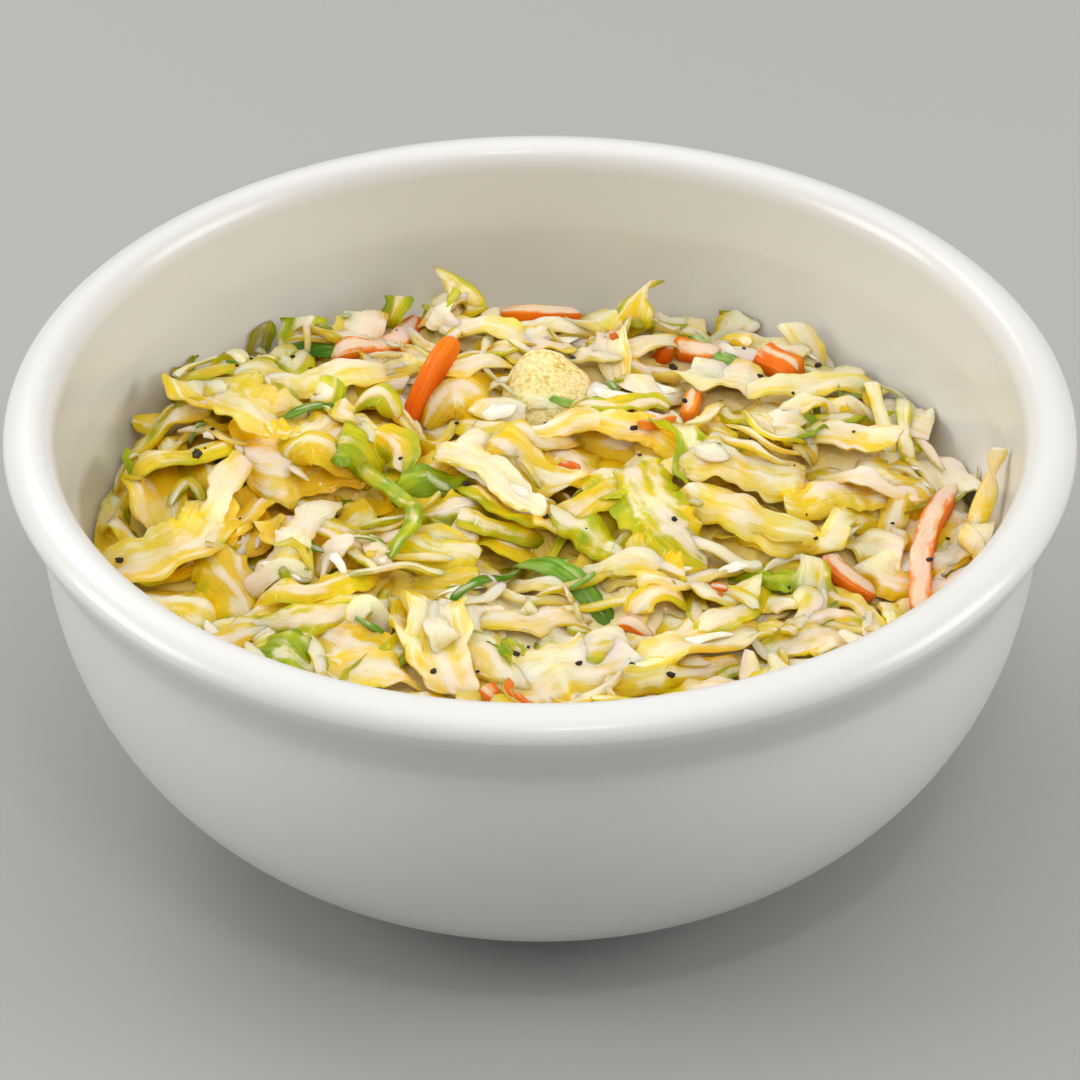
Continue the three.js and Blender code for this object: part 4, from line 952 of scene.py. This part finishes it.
def flowHeading(x, y):
    # the heading of the large pieces near (x, y): each counts by exp(-d^2 / 2 spread^2), with angles doubled
    ends = np.array([row[2:5:2] for row in largeRows])
    turn = 2 * np.arctan2(ends[:, 1, 1] - ends[:, 0, 1], ends[:, 1, 0] - ends[:, 0, 0])
    middle = ends.mean(1)
    d2 = (middle[:, 0] - x) ** 2 + (middle[:, 1] - y) ** 2
    near = np.exp(-d2 / (2 * filler["flowSpread"] ** 2)) + 1e-6
    return 0.5 * math.atan2((near * np.sin(turn)).sum(), (near * np.cos(turn)).sum())


def plainPath(rng, x, y, half, heading, bow):
    # a middle line of length 2 half through (x, y), bowed to one side by chance
    along = half * np.array([math.cos(heading), math.sin(heading)])
    aside = rng.normal(0, bow) * half * np.array([-math.sin(heading), math.cos(heading)])
    return np.array([(x, y) - along, (x, y) + aside, (x, y) + along])


def fillerShred(rng, level, sorts):
    # each goes where the heap is furthest below its form, out of a handful of places drawn at random,
    # and there is none when all of them are full
    r = filler["reach"] * np.sqrt(rng.uniform(0, 1, filler["places"]))
    t = rng.uniform(0, 2 * np.pi, filler["places"])
    x, y = r * np.cos(t), r * np.sin(t)
    lack = sum((level - heapMap)[cellOf(x + dx, y + dy)] for dx, dy in np.array(filler["around"]))
    best = int(np.argmax(lack))
    if lack[best] < 0:
        return None
    x, y = x[best], y[best]
    kind, form, _, shades, widths, lengths = sorts[rng.choice(len(sorts), p=[s[2] for s in sorts])]
    half = rng.uniform(*lengths) / 2
    heading = rng.uniform(0, 2 * np.pi)
    if rng.uniform() > filler["strays"]:
        heading = flowHeading(x, y) + rng.normal(0, 0.3)
    path = plainPath(rng, x, y, half, heading, 0.14)
    over = np.hypot(*path.T).max() - filler["edge"]
    if over > 0:
        path -= np.array([x, y]) * min(over, filler["push"]) / max(math.hypot(x, y), 1e-6)
    width = rng.uniform(*widths)
    shred = newShred(kind, form, path, width, arch=rng.uniform(0.2, 1.7), lift=max(0.0, rng.normal(0.0, 1.0)),
                     roll=rng.normal(0, 0.32), twist=rng.normal(0, 0.45), cup=rng.normal(0.15, 0.6),
                     tone=rng.uniform(*shades), toneRun=rng.normal(0, 0.12), toneAcross=rng.normal(0, 0.08),
                     film=rng.uniform(0.1, 0.9))
    if form in ("ribbon", "leafy", "chunk"):
        shred["rib"] *= rng.uniform(0.7, 1.3)
        shred["core"] = rng.uniform(0.0, 1.0)
    shred["film"] += 0.6 * creaminess(x, y) - 0.24
    shred["tone"] += 0.11 - 0.18 * creaminess(x, y)
    if form == "stick":
        shred.update(rib=width * 0.8, edge=width * 0.6, cup=0.02)
    if form == "thread":
        shred.update(rib=width * 0.6, edge=width * 0.35)
    return shred


def fillUp(rng, level, most, sorts):
    made, misses = [], 0
    while len(made) < most and misses < filler["patience"]:
        shred = fillerShred(rng, level, sorts)
        misses = misses + 1 if shred is None else 0
        if shred:
            made.append(finishShred(shred, rng))
    return made


def scatteredBits(rng):
    made = []
    for kind, form, count, shades, widths, lengths in scatter["sorts"]:
        for _ in range(count):
            r, t = scatter["reach"] * math.sqrt(rng.uniform()), rng.uniform(0, 2 * np.pi)
            x, y = r * math.cos(t), r * math.sin(t)
            heading = flowHeading(x, y) + rng.normal(0, 0.7)
            path = plainPath(rng, x, y, rng.uniform(*lengths) / 2, heading, 0.25)
            width = rng.uniform(*widths)
            shred = newShred(kind, form, path, width, arch=rng.uniform(0, 0.3), roll=rng.normal(0, 0.3),
                             cup=rng.normal(0, 0.4), tone=rng.uniform(*shades), film=rng.uniform(0.1, 0.8))
            if form == "stick":
                shred.update(rib=width * 0.8, edge=width * 0.6, cup=0.02)
            if form == "drip":
                shred.update(rib=width * 0.16, cup=0.2, film=1.0, arch=0.0, perch=0.0)
            made.append(shred)
    return made


def layHeap():
    # a bed of small shreds, the large ones, finer ones in the gaps, and bits on top
    rng = np.random.default_rng(filler["seed"])
    shreds = fillUp(rng, heapTarget - filler["bed"], filler["most"], filler["sorts"])
    print("laid a bed of", len(shreds))
    large = [finishShred(shred, rng) for shred in largeShreds(rng)]
    level = heapTarget - np.interp(creaminess(mapX, mapY), (0, 1), filler["gaps"])
    for shred in large:
        if shred["kind"] in ("carrot", "onion", "grain"):
            for x, y in shred["path"]:
                level[np.hypot(mapX - x, mapY - y) < filler["clearance"]] = -99.0
    shreds += fillUp(rng, level, filler["mostInGaps"], filler["fineSorts"])
    shreds += [finishShred(shred, rng) for shred in scatteredBits(rng)]
    for shred in shreds:
        if shred["kind"] == "carrot" and shred["path"][1][0] < filler["carrotsFrom"]:
            shred.update(kind="cabbage", form="thread", tone=0.4 * shred["tone"])
    print("laid", len(shreds), "small and", len(large), "large pieces; heap stands",
          round(float(heapMap[np.hypot(mapX, mapY) < 60].max()), 1), "mm high")
    return shreds, large


def smoothTop(reach):
    # the top of the salad averaged over a square of 2 reach + 1 cells a side
    shifts = range(-reach, reach + 1)
    rows = sum(np.roll(heapMap, k, axis=0) for k in shifts) / len(shifts)
    return sum(np.roll(rows, k, axis=1) for k in shifts) / len(shifts)


def stripMesh(name, shreds, along, across):
    # each shred is a closed strip: a ring of points round its section is carried along it, and its ends
    # are capped
    u = np.linspace(-1, 1, along)
    v = np.linspace(-1, 1, across)
    ringV = np.concatenate([v, v[::-1]])
    ringSide = np.concatenate([np.ones(across), -np.ones(across)])
    gridU, gridV = np.meshgrid(u, ringV, indexing="ij")
    rings = 2 * across
    index = np.arange(along * rings).reshape(along, rings)
    after = np.roll(index, -1, axis=1)
    sides = np.stack([index[:-1], index[1:], after[1:], after[:-1]], -1).reshape(-1, 4)
    k = np.arange(across - 1)
    nearCap = np.stack([k, k + 1, rings - 2 - k, rings - 1 - k], -1)
    farCap = nearCap[:, ::-1] + (along - 1) * rings
    quads = np.concatenate([sides, nearCap, farCap])
    top = smoothTop(3)
    points, values, chart = [], {"tone": [], "crest": [], "film": [], "across": [], "under": []}, []
    for shred in shreds:
        s, t = gridU * shred["length"] / 2, gridV * shred["width"] / 2
        p = shredPoint(shred, gridU, gridV, ringSide * thicknessOf(shred, gridU, gridV) / 2)
        points.append(p.reshape(-1, 3))
        values["tone"].append(shred["tone"] + shred["toneRun"] * gridU + shred["toneAcross"] * gridV)
        values["crest"].append(creases(shred, s, t))
        values["film"].append(shred["film"] + shred["core"] * (0.5 - np.abs(gridV)))
        values["across"].append(np.abs(gridV))
        # under, the depth below the averaged top, drives the painted crevice shade
        values["under"].append(top[cellOf(p[..., 0], p[..., 1])] - p[..., 2])
        place = np.stack([s + shred["phase"] * 9, t + ringSide * 20 + shred["phase"] * 31], -1)
        chart.append(place.reshape(-1, 2))
    quads = (quads[None] + (np.arange(len(shreds)) * along * rings)[:, None, None]).reshape(-1, 4)
    values = {key: np.concatenate(numbers).ravel() for key, numbers in values.items()}
    return meshFromQuads(name, np.concatenate(points), quads, values, np.concatenate(chart))


def newGroup(name, enters, leaves):
    group = bpy.data.node_groups.new(name, "ShaderNodeTree")
    for key in enters:
        group.interface.new_socket(key, in_out="INPUT", socket_type="NodeSocketFloat")
    for key, kind in leaves:
        group.interface.new_socket(key, in_out="OUTPUT", socket_type="NodeSocket" + kind)
    nodes = group.nodes
    return nodes, group.links, nodes.new("NodeGroupInput").outputs, nodes.new("NodeGroupOutput").inputs


def useGroup(nodes, name):
    node = nodes.new("ShaderNodeGroup")
    node.node_tree = bpy.data.node_groups[name]
    return node


fibres = {
    # scale of each pattern, in strip coordinates for the fibres and in metres for the patches
    "strip": {"Coarse": (0.11, 1.15, 1.0), "Fine": (0.3, 3.4, 1.0)},
    "patches": {"Patch": 230.0, "Warmth": 130.0, "Grit": 1700.0},
    "worn": (0.34, 0.66, -0.5, 0.5),  # noise from 0.34 to 0.66 becomes -1/2 to 1/2
}
clinging = {
    "blots": dict(Scale=210.0, Detail=3.0, Roughness=0.5, Distortion=0.4),
    "stripScale": (0.11, 0.5, 1.0),
    "streaks": dict(Scale=1.0, Detail=4.0, Roughness=0.55, Distortion=0.5),
    "streakShare": 0.6,
    "up": (-0.3, 0.9, -0.12, 0.05),  # from the normal's height to a change of the total, a painted highlight: faces that look up get more and whiter dressing
    "amount": (0.0, 1.0, -0.13, 0.13),
    "mask": (0.49, 0.63, 0.0, 1.0),
    "tints": [(0.50, (0.80, 0.67, 0.37)), (0.60, (0.85, 0.76, 0.56)), (0.72, (0.88, 0.84, 0.76))],
}


def fibreGroup():
    # fibres that run along a strip, coarse and fine, and cloudy patches of three sizes, all -1/2 to 1/2
    keys = (*fibres["strip"], *fibres["patches"])
    nodes, links, enter, leave = newGroup("plantFibre", (), [(key, "Float") for key in keys])
    place = nodes.new("ShaderNodeTexCoord").outputs
    for key, scale in fibres["strip"].items():
        strip = feed(nodes, links, "Mapping", "Vector", place["UV"], Scale=scale).outputs["Vector"]
        noise = feed(nodes, links, "TexNoise", "Vector", strip,
                     Scale=1.0, Detail=3.0, Roughness=0.55, Distortion=0.4)
        links.new(mapRange(nodes, links, noise.outputs["Fac"], *fibres["worn"]), leave[key])
    for key, scale in fibres["patches"].items():
        noise = feed(nodes, links, "TexNoise", "Vector", place["Object"], Scale=scale, Detail=2.0)
        links.new(mapRange(nodes, links, noise.outputs["Fac"], *fibres["worn"]), leave[key])


def dressingGroup():
    # where creamy dressing clings: streaks along the strip and blotches, and more and whiter dressing on
    # faces that look up, which is partly a painted highlight
    leaves = (("Mask", "Float"), ("Colour", "Color"))
    nodes, links, enter, leave = newGroup("dressingFilmAndHighlight", ("Amount",), leaves)
    place = nodes.new("ShaderNodeTexCoord").outputs
    blot = feed(nodes, links, "TexNoise", "Vector", place["Object"], **clinging["blots"])
    along = feed(nodes, links, "Mapping", "Vector", place["UV"], Scale=clinging["stripScale"])
    streak = feed(nodes, links, "TexNoise", "Vector", along.outputs["Vector"], **clinging["streaks"])
    both = addNode(nodes, "Mix", Factor=clinging["streakShare"])
    links.new(blot.outputs["Fac"], both.inputs["A"])
    links.new(streak.outputs["Fac"], both.inputs["B"])
    # painted highlight: faces that look up get more and whiter dressing
    surface = nodes.new("ShaderNodeNewGeometry")
    split = feed(nodes, links, "SeparateXYZ", "Vector", surface.outputs["Normal"])
    up = mapRange(nodes, links, split.outputs["Z"], *clinging["up"])
    share = mapRange(nodes, links, enter["Amount"], *clinging["amount"])
    total = arithmetic(nodes, links, "ADD", both.outputs["Result"], up)
    total = arithmetic(nodes, links, "ADD", total, share)
    links.new(mapRange(nodes, links, total, *clinging["mask"], smooth=True), leave["Mask"])
    links.new(ramp(nodes, links, total, clinging["tints"]), leave["Colour"])


skin = {
    "warmth": ((1.0, 0.91, 0.90), (0.95, 1.0, 0.80)),  # two casts that patches vary between
    "depth": (-0.4, 2.0, 0.0, 1.0),  # from mm under the averaged top to how deep it counts, for the painted crevice shade and the dressing that thins deep down
    "depthFilmAndShade": -0.55,  # less dressing clings deep down, and more on crests, which is partly painted shade and highlight
    "crestFilmAndHighlight": 0.35,
    "filmStart": 0.2,
    "filmRelief": 0.4,
    "fineRelief": 0.5,
    "bump": (0.45, 0.00035),
    "inputs": {
        "Subsurface Weight": 0.75,
        "Subsurface Radius": (1.0, 0.8, 0.3),
        "Subsurface Scale": 0.0045,
        "Specular IOR Level": 0.1,
        "IOR": 1.42,
        "Coat Roughness": 0.1,
    },
}
finishes = {
    # amount is how well dressing covers, centre how far it keeps to the middle, and the tint for deep parts
    # is painted crevice shade multiplied into the colour
    "cabbage": dict(
        stops=[(0.0, (0.84, 0.73, 0.41)), (0.14, (0.83, 0.68, 0.20)), (0.30, (0.82, 0.61, 0.06)),
               (0.42, (0.80, 0.56, 0.018)), (0.56, (0.75, 0.595, 0.014)), (0.76, (0.49, 0.51, 0.011)),
               (1.0, (0.22, 0.36, 0.008))],
        spread=0.24, fibre=0.20, amount=0.85, centre=0.3, gloss=(0.26, 0.5),
        creviceShadeTint=(1.0, 0.84, 0.09), coat=0.3),
    "carrot": dict(
        stops=[(0.0, (0.84, 0.13, 0.002)), (0.5, (0.90, 0.19, 0.006)), (1.0, (0.93, 0.27, 0.02))],
        spread=0.2, fibre=0.4, amount=0.75, centre=0.9, gloss=(0.3, 0.5),
        creviceShadeTint=(0.9, 0.6, 0.3), coat=0.12),
    "grain": dict(
        stops=[(0.0, (0.93, 0.84, 0.56)), (0.4, (0.86, 0.70, 0.34)), (0.75, (0.62, 0.44, 0.13)),
               (1.0, (0.36, 0.22, 0.05))],
        spread=0.2, fibre=0.2, amount=0.6, centre=0.2, gloss=(0.3, 0.5),
        creviceShadeTint=(1.0, 0.86, 0.4), coat=0.2, grit=0.6),
    "onion": dict(
        stops=[(0.0, (0.05, 0.18, 0.008)), (0.5, (0.16, 0.36, 0.02)), (1.0, (0.42, 0.58, 0.15))],
        spread=0.3, fibre=0.4, amount=0.5, centre=0.6, gloss=(0.2, 0.35),
        creviceShadeTint=(0.9, 0.8, 0.4), coat=0.2),
}
streakSkin = {
    "scale": 420.0,
    "detail": 3.0,
    "stops": [(0.3, (0.86, 0.77, 0.55)), (0.5, (0.90, 0.84, 0.70)), (0.7, (0.93, 0.91, 0.85))],
    "gloss": (0.3, 0.7, 0.14, 0.3),
    "bump": (0.25, 0.0002),
    "burley": True,
    "Subsurface_Weight": 0.3,
    "Subsurface_Radius": (1.0, 0.9, 0.7),
    "Subsurface_Scale": 0.0015,
}


def vegetable(name, stops, spread, fibre, amount, centre, gloss, creviceShadeTint, coat, grit=0.0):
    # tone plus weight times pattern, for each pattern in turn, picks the colour along the ramp, where the
    # crest term is painted shade that makes crease valleys more golden; the colour is multiplied by a tint
    # deep under the averaged top, which is painted crevice shade; dressing lies over that where film plus its
    # own weighted patterns says so, with less of it deep down and more on crests, which is partly painted
    # shade and highlight
    material, nodes, links, shader = newMaterial(name)
    read = {key: readAttribute(nodes, key) for key in ("tone", "crest", "film", "across", "under")}
    plant = useGroup(nodes, "plantFibre").outputs

    def add(total, source, weight):
        return arithmetic(nodes, links, "MULTIPLY_ADD", source, weight, total)

    shade = read["tone"]
    # the crest term is painted shade: crease valleys turn more golden and ridges paler
    for source, weight in ((plant["Patch"], spread), (plant["Coarse"], fibre), (plant["Fine"], 0.4 * fibre),
                           (plant["Grit"], grit), (read["across"], 0.5 * spread),
                           (read["crest"], -0.5 * spread)):
        shade = add(shade, source, weight)
    colour = ramp(nodes, links, shade, stops)
    warmth = arithmetic(nodes, links, "ADD", plant["Warmth"], 0.5)
    cast = mixColour(nodes, links, warmth, *skin["warmth"])
    # painted shade: the colour is multiplied by the tint where it lies deep under the averaged top
    deep = mapRange(nodes, links, read["under"], *skin["depth"])
    creviceShaded = mixColour(nodes, links, deep, colour, creviceShadeTint, "MULTIPLY")
    cling = arithmetic(nodes, links, "ADD", read["film"], 0.5 * centre)
    cling = add(cling, read["across"], -centre)
    # partly painted shade and highlight: less dressing deep down, more on crests
    cling = add(cling, deep, skin["depthFilmAndShade"])
    cling = add(cling, read["crest"], skin["crestFilmAndHighlight"])
    film = useGroup(nodes, "dressingFilmAndHighlight")
    links.new(arithmetic(nodes, links, "ADD", cling, skin["filmStart"]), film.inputs["Amount"])
    cover = arithmetic(nodes, links, "MULTIPLY", film.outputs["Mask"], amount)
    covered = mixColour(nodes, links, cover, creviceShaded, film.outputs["Colour"])
    links.new(mixColour(nodes, links, 1.0, covered, cast, "MULTIPLY"), shader.inputs["Base Color"])
    links.new(mapRange(nodes, links, plant["Coarse"], -0.5, 0.5, *gloss), shader.inputs["Roughness"])
    relief = add(plant["Coarse"], film.outputs["Mask"], skin["filmRelief"])
    relief = add(relief, plant["Fine"], skin["fineRelief"])
    addBump(nodes, links, shader, relief, *skin["bump"])
    shader.subsurface_method = "BURLEY"
    setInputs(shader, dict(skin["inputs"], Coat_Weight=coat))
    return material


pool = {
    "x": 0.0, "y": -17.0, "spreadX": 22.0, "spreadY": 11.0,  # where the dressing stands nearly to the top
    "deep": 3.6,  # elsewhere it lies this far under the tops of the shreds around
    "shallow": 0.7,
    "creamRise": 0.55,  # how far it rises in the creamy parts, and how pale it is there; elsewhere its darker golden-brown is painted shade in the gaps
    "creamTint": 0.6,
    "blur": 5,
    "rings": 120,
    "segments": 300,
    "underRings": 10,
}
dressingSkin = {
    "scale": 110.0,
    "detail": 4.0,
    # the darker golden-brown end is painted shade, for dressing that lies deep in the gaps between shreds
    "stops": [(0.3, (0.64, 0.37, 0.018)), (0.6, (0.78, 0.55, 0.07)), (0.95, (0.90, 0.80, 0.50))],
    "gloss": (0.0, 1.0, 0.22, 0.4),
    "bump": (0.5, 0.0003),
    "grain": ("TexVoronoi", "Distance", {"Scale": 900.0}),
    "along": "pool",
    "Subsurface_Weight": 0.4,
    "Subsurface_Radius": (1.0, 0.8, 0.4),
    "Subsurface_Scale": 0.002,
    "Specular_IOR_Level": 0.15,
    "Coat_Weight": 0.3,
    "Coat_Roughness": 0.1,
}


def poolShare(x, y, cream):
    # exp(-d^2) from the middle of the pool, and at least cream times the creaminess
    d2 = ((x - pool["x"]) / pool["spreadX"]) ** 2 + ((y - pool["y"]) / pool["spreadY"]) ** 2
    return np.maximum(np.exp(-d2), cream * creaminess(x, y))


def dressingLevel(x, y):
    # the averaged top of the shreds, lowered by deep, less so in the pool, with small swells
    swell = 0.12 * np.sin(x * 1.9 + 1.7 * np.sin(y * 1.1)) + 0.1 * np.sin(y * 2.3 + 1.5 * np.sin(x * 0.9))
    rise = (pool["deep"] - pool["shallow"]) * poolShare(x, y, pool["creamRise"])
    return smoothTop(pool["blur"])[cellOf(x, y)] - pool["deep"] + rise + swell


def makeDressing():
    # the underside is the cavity's own curve and the top is dressingLevel, on rings out to the wall
    rows, cols = pool["rings"], pool["segments"]
    turn = np.arange(cols) * 2 * np.pi / cols
    share = np.linspace(1, 0, rows + 1)[:-1][:, None]
    edge = innerRadius(heap["edgeLevel"] - pool["deep"]) + 0.3
    x, y = share * edge * np.cos(turn), share * edge * np.sin(turn)
    top = np.stack([x, y, dressingLevel(x, y)], -1)
    count = pool["underRings"]
    z = np.linspace(bowlSizes["floorLevel"] - 0.2, heap["edgeLevel"] - pool["deep"] - 3, count)[:, None]
    r = np.maximum(innerRadius(z) + 0.2, 1.0)
    low = np.stack([r * np.cos(turn), r * np.sin(turn), np.broadcast_to(z, (count, cols))], -1)
    ends = [(0, 0, z[0, 0]), (0, 0, float(dressingLevel(0, 0)))]
    points = np.concatenate([low.reshape(-1, 3), top.reshape(-1, 3), ends])
    mesh = meshFromFaces("dressing", points, ringFaces(count + rows, cols))
    # pool is 1 where the dressing is pale, in the pool and the creamy parts, and 0 in the gaps, where its
    # darker colour is painted shade
    cream = poolShare(points[:, 0], points[:, 1], pool["creamTint"])
    mesh.attributes.new("pool", "FLOAT", "POINT").data.foreach_set("value", cream)
    addObject("dressing", mesh, cloudyFinish("dressingAndGapShade", **dressingSkin), "coleslaw")


pepper = {
    "seed": 5,
    # where the clear specks are, read like the large pieces, and their widths
    "places": [
        (-47, 17.5, 1.7), (-57, -7, 1.1), (-31, -10, 0.9), (-10, 10.5, 1.1), (-13.5, -33.8, 1.0),
        (-3, -28, 0.9), (4.6, 42.5, 1.0), (18.8, 40, 1.6), (20.2, 30.8, 0.9), (13, 24, 1.0), (18, 2.5, 0.9),
        (0.8, -3, 1.0), (39.5, -18.5, 1.2), (5, -29.6, 0.9), (11.7, -30, 1.0), (16.6, -34, 1.1),
        (1, 25.5, 0.8), (31, 36.5, 1.0), (39.5, 40, 1.0), (13.6, 17.5, 0.6), (51.5, -7, 0.9),
    ],
    "reach": 56.0,
    "more": 30,
    "widths": (0.3, 0.7),
    "grid": (6, 8),
    "squash": (1.0, 0.85, 0.7),
    "crisp": 0.6,
}
pepperSkin = {
    "scale": 1500.0,
    "detail": 2.0,
    "stops": [(0.35, (0.010, 0.007, 0.004)), (0.6, (0.035, 0.022, 0.010)), (0.75, (0.16, 0.10, 0.04))],
    "Roughness": 0.7,
}


def speck(rng, a, b, width):
    # p = r (cos a cos b, 0.85 cos a sin b, 0.7 sin a) with r broken up by sines, and its two poles
    n = rng.uniform(0, 2 * np.pi, 4)
    r = width / 2 * (1 + 0.22 * np.sin(2 * b + n[0]) * np.cos(a) + 0.15 * np.sin(3 * b + 2 * a + n[1]))
    sx, sy, sz = pepper["squash"]
    ball = np.stack([sx * r * np.cos(a) * np.cos(b + n[2]), sy * r * np.cos(a) * np.sin(b + n[2]),
                     sz * r * np.sin(a) * np.ones(b.shape)], -1).reshape(-1, 3)
    return np.concatenate([ball, [(0, 0, -0.33 * width), (0, 0, 0.33 * width)]])


def makePepper(spec):
    rng = np.random.default_rng(spec["seed"])
    rows, cols = spec["grid"]
    a = np.linspace(-np.pi / 2, np.pi / 2, rows + 2)[1:-1][:, None]
    b = np.arange(cols) * 2 * np.pi / cols
    places = [(x, y, w, True) for x, y, w in spec["places"]]
    for _ in range(spec["more"]):
        r, t = spec["reach"] * math.sqrt(rng.uniform()), rng.uniform(0, 2 * np.pi)
        places.append((r * math.cos(t), r * math.sin(t), rng.uniform(*spec["widths"]), False))
    points, faces = [], []
    for x, y, width, seen in places:
        spot = np.array([x, y], float)
        for _ in range(4 if seen else 0):
            spot = downSight(np.array([[x, y]], float), heapMap[cellOf(*spot)])[0]
            spot *= min(1.0, spec["reach"] / np.hypot(*spot))
        start = len(points) * (rows * cols + 2)
        faces += [tuple(i + start for i in face) for face in ringFaces(rows, cols)]
        points.append(speck(rng, a, b, width) + np.array([*spot, heapMap[cellOf(*spot)] + 0.12 * width]))
    mesh = meshFromFaces("pepper", np.concatenate(points), faces)
    finish = cloudyFinish("crackedPepper", **pepperSkin)
    addObject("pepper", mesh, finish, "coleslaw", spec["crisp"])


pieces = [
    # name, finish, forms, grid of the small ones, grid of the large ones
    ("cabbageRibbons", "cabbage", ("ribbon", "chunk"), (26, 4), (48, 9)),
    ("cabbageLeaves", "cabbage", ("leafy",), (22, 7), (64, 13)),
    ("grainLeaf", "grain", ("leafy",), (16, 6), (60, 22)),
    ("cabbageThreads", "cabbage", ("thread",), (18, 3), (36, 4)),
    ("carrotSticks", "carrot", ("stick",), (14, 4), (40, 6)),
    ("cabbageBits", "cabbage", ("sliver",), (8, 3), (8, 3)),
    ("onionSlivers", "onion", ("sliver",), (14, 4), (36, 6)),
    ("dressingStreaks", "streak", ("drip",), (12, 5), (26, 9)),
]


def makeSalad():
    small, large = layHeap()
    fibreGroup()
    dressingGroup()
    finished = {kind: vegetable(kind, **finishes[kind]) for kind in finishes}
    finished["streak"] = cloudyFinish("thickDressing", **streakSkin)
    for name, kind, shapes, smallGrid, largeGrid in pieces:
        for suffix, shreds, grid in (("Small", small, smallGrid), ("Large", large, largeGrid)):
            chosen = [s for s in shreds if s["kind"] == kind and s["form"] in shapes]
            if chosen:
                mesh = stripMesh(name + suffix, chosen, *grid)
                addObject(name + suffix, mesh, finished[kind], "coleslaw", 0.9)
    makeDressing()
    makePepper(pepper)


makeCamera(viewer)
for row in lamps:
    makeLamp(*row)
makeStudio(studio)
makeBowl(bowlSizes)
makeSalad()

bpy.context.scene.view_settings.view_transform = "Standard"
